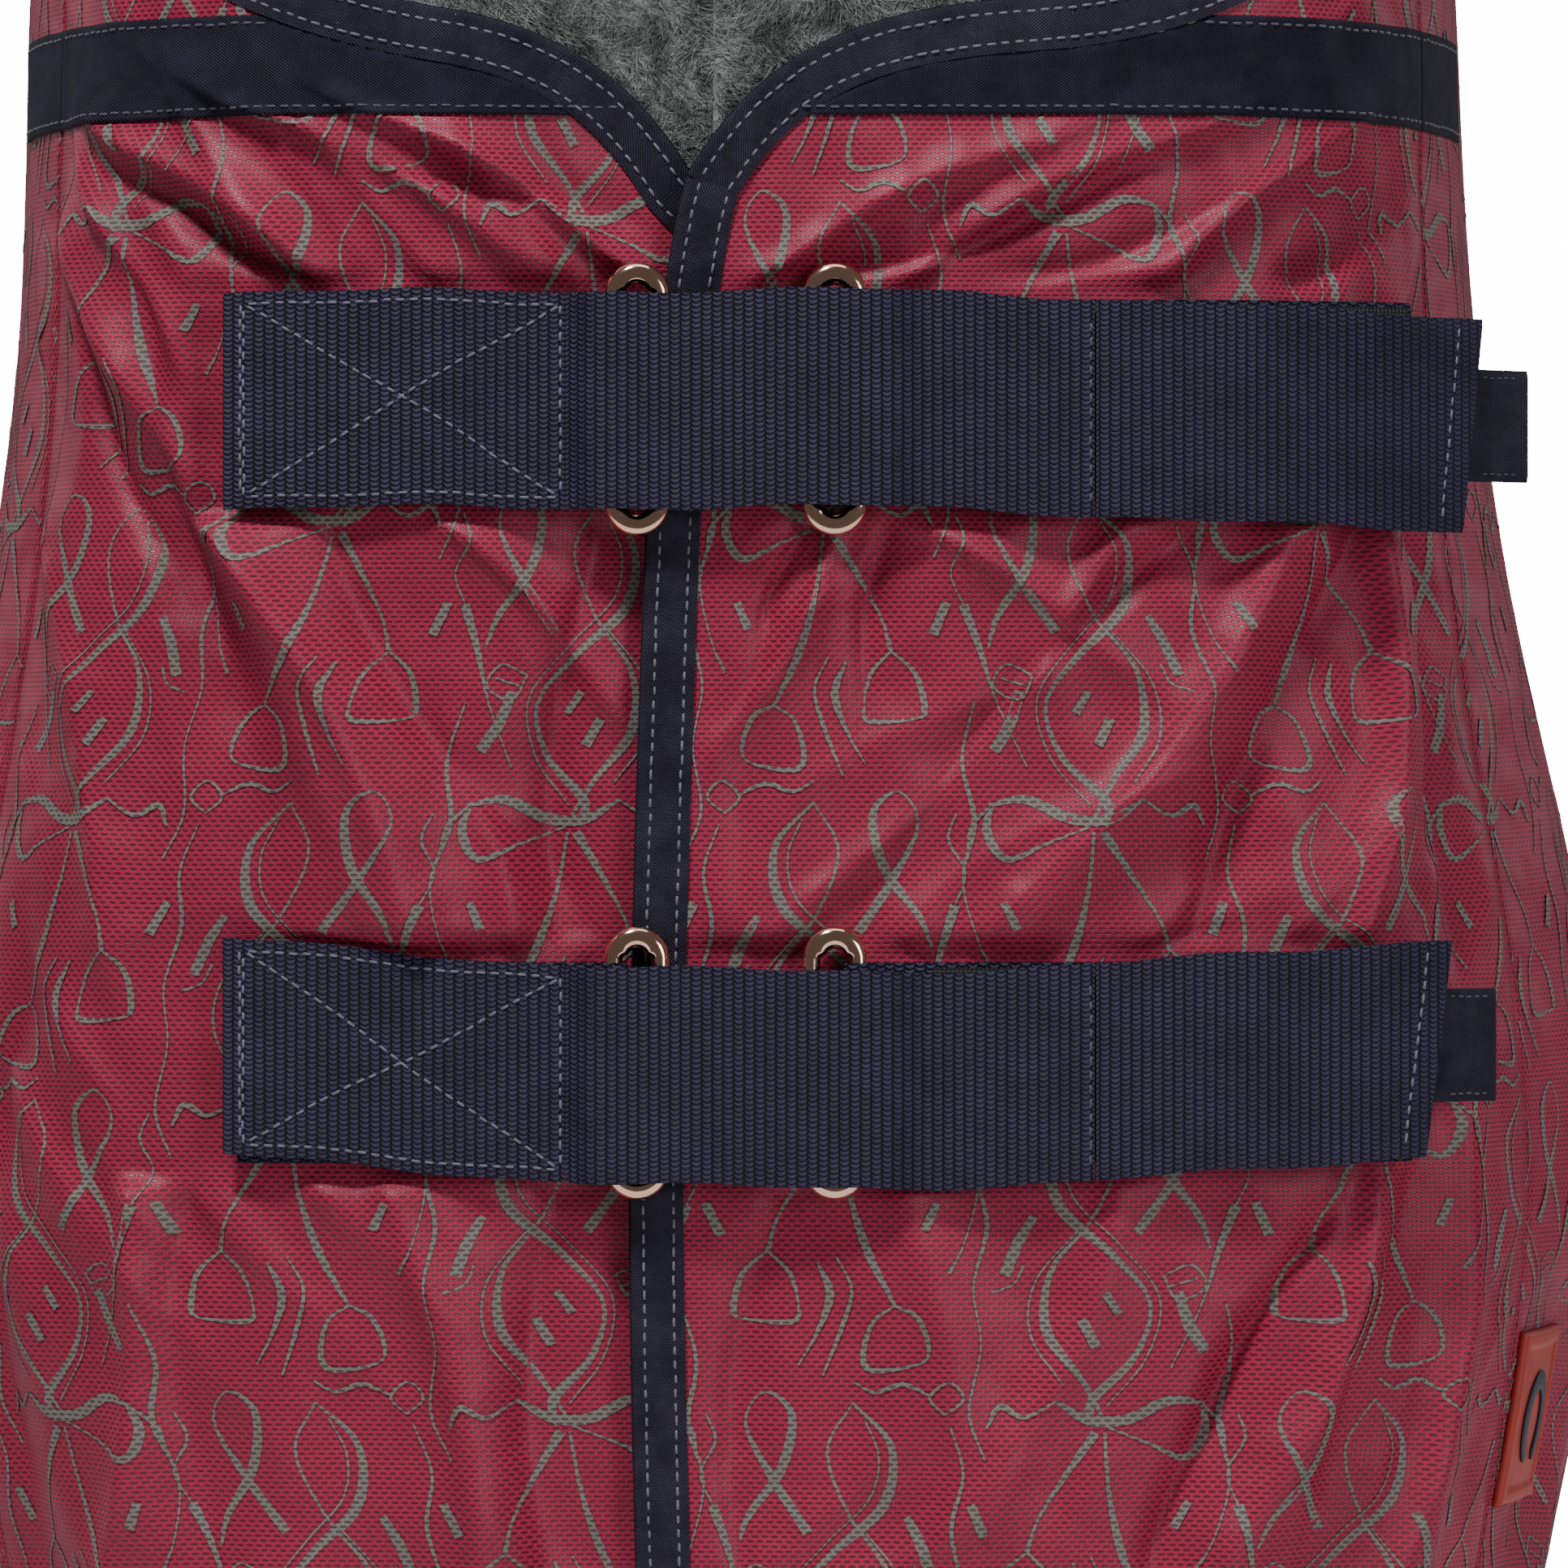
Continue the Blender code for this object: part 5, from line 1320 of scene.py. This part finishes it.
def keeper_plan(side, which, share):
    """Webbing from its foot on the cloth, round the ring's outer bar and back over itself."""
    sign = 1 if side == "left" else -1
    bar_x = RING_X[side == "left"] + sign * (RING_WIDTH - RING_WIRE) / 2
    radius = RING_WIRE / 2 + RING_PLAY + WEBBING / 2
    middle = STRAP_HEIGHTS[which]
    z = middle + KEEPER_WIDTH * (share - 0.5)
    back, front = SEAT + WEBBING / 2, SEAT + LEG + WEBBING / 2
    reach = KEEPER_REACH[side == "left"]
    tongue = KEEPER_TONGUE if side == "left" else reach
    foot = bar_x + sign * 0.010
    lower = np.linspace(reach, foot, 40)
    near = np.minimum(chest_y(lower, z + 0 * lower), chest_y(lower, middle + 0 * lower))
    turn = np.radians(np.linspace(-90, 150, 22))
    bend = [bar_x - sign * radius * np.cos(turn), CHEST_Y - RING_STAND - radius * np.sin(turn)]
    upper = np.linspace(foot + sign * 0.002, tongue, 50)
    if side == "left":
        y = stiff_y(upper, middle + 0 * upper)
    else:
        y = np.minimum(chest_y(upper, z + 0 * upper), chest_y(upper, middle + 0 * upper))
    return np.concatenate([np.column_stack(part) for part in ([lower, near - back], bend, [upper, y - front])])


def level(middle, width):
    """The height of a ribbon that runs level."""
    return lambda x, share: middle + width * (share - 0.5) + 0 * x


def keepers():
    """The webbing that holds the rings, and the hook tape on the left keepers' tongues."""
    for which in STRAPS:
        middle = STRAP_HEIGHTS[which]
        for side, _sign in SIDES:
            plan = lambda share: keeper_plan(side, which, share)
            name, height = f"{side}_{which}_loop_webbing", level(middle, KEEPER_WIDTH)
            made = ribbon(name, plan, height, WEBBING, NAVY_WEB)
            riding(made, f"{side}_front", "navy_webbing", f"{side}_{which}_keeper")
        end = min(KEEPER_TONGUE, STRAP_ENDS[which] - TAB_HOLD - SLANT[which]) - 2 * SEAT
        x = np.linspace(TAPE_FROM, end, 60)
        line = np.column_stack([x, stiff_y(x, middle + 0 * x) - (SEAT + 2 * LEG + TAPE / 2)])
        height = level(middle, KEEPER_WIDTH - 0.004)
        made = ribbon(f"{which}_hook_strip", lambda _share: line, height, TAPE, BLACK_TAPE)
        riding(made, "left_front", "black_tape", f"{which}_hook_tape")


def rings():
    """Polished oval rings, broader at their rounded ends."""
    half, straight_half, radius = (RING_WIDTH - RING_WIRE) / 2, (RING_HEIGHT - RING_WIDTH) / 2, RING_WIRE / 2
    path = []
    for middle, start in ((straight_half, 0), (-straight_half, 180)):
        turn = np.radians(np.linspace(start, start + 180, 41))
        path.append(np.column_stack([half * np.cos(turn), 0 * turn, middle + half * np.sin(turn)]))
    path = np.concatenate(path)
    run = unit(np.roll(path, -1, 0) - np.roll(path, 1, 0))
    out = np.column_stack([run[:, 2], 0 * run[:, 0], -run[:, 0]])
    turn = np.linspace(0, 2 * math.pi, 28, endpoint=False)[None, :, None]
    broad = RING_BROAD * smooth((np.abs(path[:, 2]) - straight_half) / 0.004)[:, None, None]
    reach = radius * np.cos(turn) - broad * (1 - np.cos(turn)) / 2
    wire = path[:, None] + reach * out[:, None] + radius * np.sin(turn) * np.array([0, -1, 0])
    for side, _sign in SIDES:
        for which in STRAPS:
            centre = np.array([RING_X[side == "left"], CHEST_Y - RING_STAND, STRAP_HEIGHTS[which]])
            made = tube(f"{side}_{which}_oval", centre + wire, ROSE_GOLD, closed=True)
            riding(made, f"{side}_{which}_ring", "rose_gold", f"{side}_{which}_ring")


# --- patch ---


def patch():
    """Moulded rubber patch with a raised rim and a plain horseshoe."""
    u0, v0 = PATCH_AT
    b, a = np.meshgrid(np.linspace(-1, 1, 61), np.linspace(-1, 1, 61), indexing="ij")
    edge = np.maximum(np.abs(a), np.abs(b))
    rim = smooth((edge - 0.80) / 0.04) * (1 - smooth((edge - 0.955) / 0.045) * 0.8)
    height = PATCH_RISE + 0.0010 * rim - 0.0008 * smooth((edge - 0.97) / 0.03)
    u, v = u0 + PATCH_SIZE[0] / 2 * a, v0 + PATCH_SIZE[1] / 2 * b
    made = shell("moulded_patch", place(u, v, SEAT * 0.4), place(u, v, height), ORANGE, np.stack([u, v], -1))
    riding(made, "rug_body", "orange_rubber", "shoulder_patch")
    turn = np.radians(np.linspace(-58, 238, 64))[:, None]
    across = np.linspace(0, 2 * math.pi, 16, endpoint=False)[None, :]
    taper = np.clip(1 - (np.abs(turn - math.pi / 2) / math.radians(148)) ** 8 * 0.35, 0, 1)
    reach = HORSESHOE + HORSESHOE_HALF * rounded(np.cos(across), 0.4) * taper
    rise = 0.0006 + 0.0006 * rounded(np.sin(across), 0.5)
    u, v = u0 + reach * np.cos(turn), v0 - 0.002 + 1.12 * reach * np.sin(turn)
    made = tube("patch_emblem", place(u, v, PATCH_RISE + rise + 0 * turn), NAVY_RUBBER)
    riding(made, "rug_body", "navy_rubber", "patch_horseshoe")


# --- back, tail and belly ---


def over_spine(us, vs):
    """Grids of u and v from the left up over the spine and down on the right, a column for each of vs."""
    u = np.concatenate([us[:, None] + 0 * vs, -us[:, None] + 0 * vs[::-1]], 1)
    return u, np.concatenate([vs, vs[::-1]])[None, :] + 0 * u


def back_pieces():
    """The fleece under the withers and the webbing along the spine."""
    us = FRONT_ARC + np.linspace(0.004, WITHERS_LENGTH, 110)
    u, v = over_spine(us, TOP - np.linspace(0.150, SEAM_GAP, 40))
    back = -CLOTH - SEAT - LINING_SLACK
    made = fleece_piece("withers_pile", u, v, back - 0.0004, ruffle=0.0006)
    riding(made, "rug_body", "grey_fleece", "withers_fleece")
    along, down, half = (RNG.random(WITHERS_TUFTS) for _draw in range(3))
    spots_u = (FRONT_ARC + 0.01 + (WITHERS_LENGTH - 0.02) * along) * np.where(half < 0.5, -1, 1)
    spots_v = TOP - 0.002 - 0.145 * down
    made = tufts("withers_tufts", spots_u, spots_v, back - FLEECE, WITHERS_TUFT)
    riding(made, "rug_body", "grey_fleece")
    us = FRONT_ARC + np.linspace(0.004, BODY_LENGTH - BINDING_WIDTH - 0.001, 260)
    across = SPINE_TAPE_WIDTH / 2 - (SPINE_TAPE_WIDTH / 2 - SEAM_GAP) * np.linspace(0, 1, 14)
    u, v = over_spine(us, TOP - across)
    rim = web_rim(SPINE_TAPE_WIDTH / 2 - (TOP - v), 0.25)
    outer, inner = place(u, v, SEAT + WEBBING / 2 * (1 + rim)), place(u, v, SEAT + WEBBING / 2 * (1 - rim))
    uv = np.stack([u, np.where(u > 0, v, 2 * TOP - v)], -1)
    made = shell("spine_webbing", inner, outer, NAVY_WEB, uv, 50)
    riding(made, "rug_body", "navy_webbing", "spine_tape")
    us = us[2:-2]
    lines = [sewn_line(sign * us, TOP - 0.016 + 0 * us, SEAT + WEBBING) for _side, sign in SIDES]
    riding(stitches("spine_stitches", lines, LAVENDER, 0.0060, 0.0040), "rug_body", "navy_webbing")


def flap_point(x, share, d):
    """On the tail flap, x across and at this share of the way down, d behind its inner face."""
    rear = FRONT_ARC + BODY_LENGTH
    arch_v = np.linspace(SHOULDER_V, TOP, 400)
    arch = point(rear, arch_v)
    top = np.interp(np.abs(x), arch[::-1, 0], arch[::-1, 2])
    bottom = FLAP_BOTTOM + FLAP_CURVE * (2 * x / FLAP_WIDTH) ** 2
    wave = 0.0045 * (1 + np.sin(x * 62 + 1.2 + 1.4 * share)) + 0.0018 * (1 + np.sin(x * 131 + 3 * share))
    y = BODY_LENGTH + 2 * SEAT + TRIM + FLAP_FLARE * smooth(share) + wave * smooth(share * 1.6)
    return np.stack([x, y + d, top + (bottom - top) * share], -1)


def tail():
    """The flap over the tail, with tape round its free edges."""
    half, over, low = FLAP_WIDTH / 2, FLAP_WIDTH / 2 + FLAP_TAPE_OVER, 1 - FLAP_TAPE / FLAP_DROP
    grid = lambda shares, xs: np.meshgrid(shares, xs, indexing="ij")
    share, x = grid(np.linspace(0, 1, 90), np.linspace(-half, half, 110))
    uv = np.stack([x, TOP - share * FLAP_DROP], -1)
    made = shell("tail_cloth", flap_point(x, share, 0), flap_point(x, share, CLOTH), RED, uv)
    riding(made, "tail_flap", "red_cloth", "tail_flap")
    edges = {"bottom": grid(np.linspace(low, 1.002, 8), np.linspace(-over, over, 110))}
    for side, sign in SIDES:
        edges[side] = grid(np.linspace(0.003, low - 0.001, 80), sign * np.linspace(half - FLAP_TAPE, over, 8))
    lines = []
    for where, (share, x) in edges.items():
        level_tape = where == "bottom"
        uv = np.stack([x, share * FLAP_DROP] if level_tape else [share * FLAP_DROP, x], -1)
        inner, outer = flap_point(x, share, -TAPE_OUT), flap_point(x, share, CLOTH + TAPE_OUT)
        riding(shell(f"flap_{where}_tape", inner, outer, NAVY_TWILL, uv, 50), "tail_flap", "navy_tape")
        path = resample(outer[2, 3:-3] if level_tape else outer[3:-3, 2], 0.002)
        lines.append(np.concatenate([path, np.tile([0, 1.0, 0], (len(path), 1))], 1))
    riding(stitches("flap_stitches", lines, LAVENDER), "tail_flap", "navy_tape")


def web_rim(inset, edge):
    """How thick webbing is, this far from its edge, next to its full thickness."""
    return edge + (1 - edge) * np.sqrt(np.clip(inset / 0.002 + 0.05, 0, 1))


def belly_straps():
    """The surcingles, from inside the left side panel under the belly to their clips."""
    for name, (left_y, right_y, drop, slack) in SURCINGLES.items():
        v = v_of(SURCINGLE_TOP)
        left = smooth_place(FRONT_ARC + left_y, v, -CLOTH - SEWN_SLACK * LINING_SLACK - WEBBING)
        right = smooth_place(-(FRONT_ARC + right_y), v, -CLOTH - slack * LINING_SLACK - PLATE_THICK)
        middle, span = (left + right) / 2, left - right
        across = span[:2] / np.linalg.norm(span[:2])
        diagonal = np.array([-across[1], across[0], 0]) * SURCINGLE_WIDTH / 2
        share = np.linspace(CLIP_FROM, SEWN_END, 330)[:, None, None]
        side = np.linspace(-1, 1, 23)[None, :, None]
        depth = SURCINGLE_TOP - SURCINGLE_BELLY + drop
        centre = middle + (left - middle) * share
        centre[..., 2:] = SURCINGLE_TOP - depth * (1 - np.abs(share) ** BELLY_POWER)
        slope = BELLY_POWER * rounded(share, BELLY_POWER - 1) * depth / np.linalg.norm(left - middle)
        out = np.concatenate([slope * across[0], slope * across[1], -1 + 0 * slope], -1)
        out = unit(out)
        flat = smooth((np.abs(share) - FLAT_FROM) / FLAT_OVER)
        wide = diagonal + (np.array([0, SURCINGLE_WIDTH / 2, 0]) - diagonal) * flat
        rim = web_rim((1 - np.abs(side)) * SURCINGLE_WIDTH / 2, 0.3)
        inner = centre + wide * side + out * WEBBING / 2 * (1 - rim)
        outer = centre + wide * side + out * WEBBING / 2 * (1 + rim)
        run = run_of(centre[:, 0])
        uv = np.stack(np.broadcast_arrays(run[:, None], side[..., 0] * SURCINGLE_WIDTH / 2), -1)
        made = shell(f"{name}_webbing", inner, outer, NAVY_WEB, uv, 50)
        riding(made, "rug_body", "navy_webbing", name)


def smooth_place(u, v, d):
    """A point at distance d outside the smooth surface."""
    u, v = np.array([float(u)]), np.array([float(v)])
    return (point(u, v) + d * normal(u, v))[0]


# --- what stays from the CAD, with better materials ---


def dress_cad():
    """The plates of the belly straps."""
    for name in SURCINGLES:
        for piece in ("clip", "eye"):
            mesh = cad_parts[f"{name}_{piece}"].data
            mesh.materials.clear()
            mesh.materials.append(STEEL)


# --- the cloth pieces' widths and lengths, worked out but not kept ---


def lengths(points):
    return np.linalg.norm(np.diff(points, axis=0), axis=-1).sum(0)


def declare(points, held, rests_on, with_pieces=()):
    """Works out the width and length of the cloth through a grid of points, and looks up what it rests on and
    the pieces sewn to it; nothing is kept.
    """
    width, length = float(lengths(points.swapaxes(0, 1)).max()), float(lengths(points).max())
    list(rests_on)
    [PIECES[piece] for piece in with_pieces]


def declare_cloth():
    """Every sheet, with what is sewn to it."""
    for side, sign in SIDES:
        own = lambda names: [f"{side}_{name}" for name in names.split()]
        flank = FRONT_ARC + np.linspace(SIDE_LENGTH + HALF_GAP, BODY_LENGTH, 50)
        front_trims = "front_print front_band_stitches edge_tape neck_tape hem_tape"
        front_trims += " edge_stitches neck_stitches hem_stitches"
        side_trims = "side_print collar_tape side_band_stitches shoulder_stitches"
        hind_trims = "hind_print rear_tape body_hem_tape body_tape_stitches flank_stitches"
        for name, grid, held, rests_on, trims in (
            ("front_cloth", front_grid(side, 60, 60), "hung", own("side_cloth"), front_trims),
            ("side_cloth", body_grid(sign, side_columns(), 60), "draped", ["spine_webbing"], side_trims),
            ("hind_cloth", body_grid(sign, flank, 60), "draped", ["spine_webbing"], hind_trims),
            ("front_band_tape", BAND_GRIDS[side, "front"], "laid", own("front_cloth"), ""),
            ("side_band_tape", BAND_GRIDS[side, "side"], "laid", own("side_cloth"), ""),
            ("neck_pile", PILE_GRIDS[side], "hung", own("front_cloth"), "neck_tufts"),
        ):
            declare(point(*grid), held, rests_on, own(trims))
    us, vs = FRONT_ARC + np.linspace(0.004, WITHERS_LENGTH, 40), TOP - np.linspace(0.150, SEAM_GAP, 20)
    u, v = over_spine(us, vs)
    declare(point(u, v), "laid", ["left_side_cloth", "right_side_cloth"], ["withers_tufts"])
    half = FLAP_WIDTH / 2
    share, x = np.meshgrid(np.linspace(0, 1, 40), np.linspace(-half, half, 60), indexing="ij")
    trims = ["flap_bottom_tape", "flap_left_tape", "flap_right_tape", "flap_stitches"]
    declare(flap_point(x, share, 0), "hung", ["left_hind_cloth", "right_hind_cloth"], trims)


# --- studio ---


# each light's name, place, what it looks at, size in metres and power in watts
LIGHTS = (
    ("key", (-0.85, -1.9, 2.1), (0, -0.4, -0.65), (0.45, 0.45), 93),
    ("fill", (2.0, -2.8, -0.1), (0, -0.4, -0.65), (1.0, 1.6), 33),
    ("overhead", (0, -0.9, 2.2), (0, -0.2, -0.6), (2.0, 1.4), 16),
    ("rim_left", (-2.8, 1.6, 0.6), (0, 0.4, -0.5), (1.6, 1.6), 16),
    ("rim_right", (2.8, 1.6, 0.6), (0, 0.4, -0.5), (1.6, 1.6), 16),
    ("back", (0, 4.0, 0.9), (0, 1.2, -0.5), (2.0, 1.6), 50),
)


def area_light(name, at, towards, size, power):
    light = bpy.data.lights.new(name, "AREA")
    light.shape, light.energy = "RECTANGLE", power
    light.size, light.size_y = size
    aim = (Vector(towards) - Vector(at)).to_track_quat("-Z", "Y")
    in_scene(name, light, at).rotation_euler = aim.to_euler()


def studio():
    """A pale round floor, the lights, and a sky that only the camera sees as bright."""
    turn = np.linspace(0, 2 * math.pi, 96, endpoint=False)
    floor_z = cad_low.z - 0.02
    circle = np.column_stack([np.cos(turn), np.sin(turn), 0 * turn])
    rings = [r * circle + (0, 0.45, floor_z) for r in (0.02, 1.0, 1.9)]
    closing = [[i * 96 + 95, i * 96, i * 96 + 96, i * 96 + 191] for i in (0, 1)]
    look = Look("studio_floor", (0.86, 0.86, 0.86), 0.8)
    patchy = look.noise(look.generated(), 2.0)
    look.set("Base Color", look.mix(patchy, (0.84, 0.84, 0.84), (0.88, 0.88, 0.88)))
    faces = np.concatenate([grid_faces(3, 96), closing])
    quads_object("studio_floor", np.concatenate(rings), faces, look.material)
    for light in LIGHTS:
        area_light(*light)
    world = bpy.data.worlds.new("studio")
    bpy.context.scene.world = world
    world.use_nodes = True
    tree = world.node_tree
    background = tree.nodes["Background"]
    background.inputs["Color"].default_value = (0.98, 0.98, 0.98, 1)
    path = tree.nodes.new("ShaderNodeLightPath")
    strength = tree.nodes.new("ShaderNodeMapRange")
    strength.inputs["To Min"].default_value = 0.10
    strength.inputs["To Max"].default_value = 16.0
    tree.links.new(path.outputs["Is Camera Ray"], strength.inputs["Value"])
    tree.links.new(strength.outputs["Result"], background.inputs["Strength"])


def camera():
    data = bpy.data.cameras.new("camera")
    data.sensor_width = 36.0
    data.lens = data.sensor_width * CAMERA_DISTANCE / VIEW_WIDTH
    data.clip_end = 100
    obj = in_scene("camera", data, Vector(VIEW_MIDDLE) + Vector((0, -CAMERA_DISTANCE, 0)))
    obj.rotation_euler = (math.pi / 2, 0, 0)
    bpy.context.scene.camera = obj


for build in (
    panels, prints, front_trim, body_trim, bands, seams, fleeces, straps, keepers,
    rings, patch, back_pieces, tail, belly_straps, dress_cad, studio, camera, declare_cloth,
):
    build()
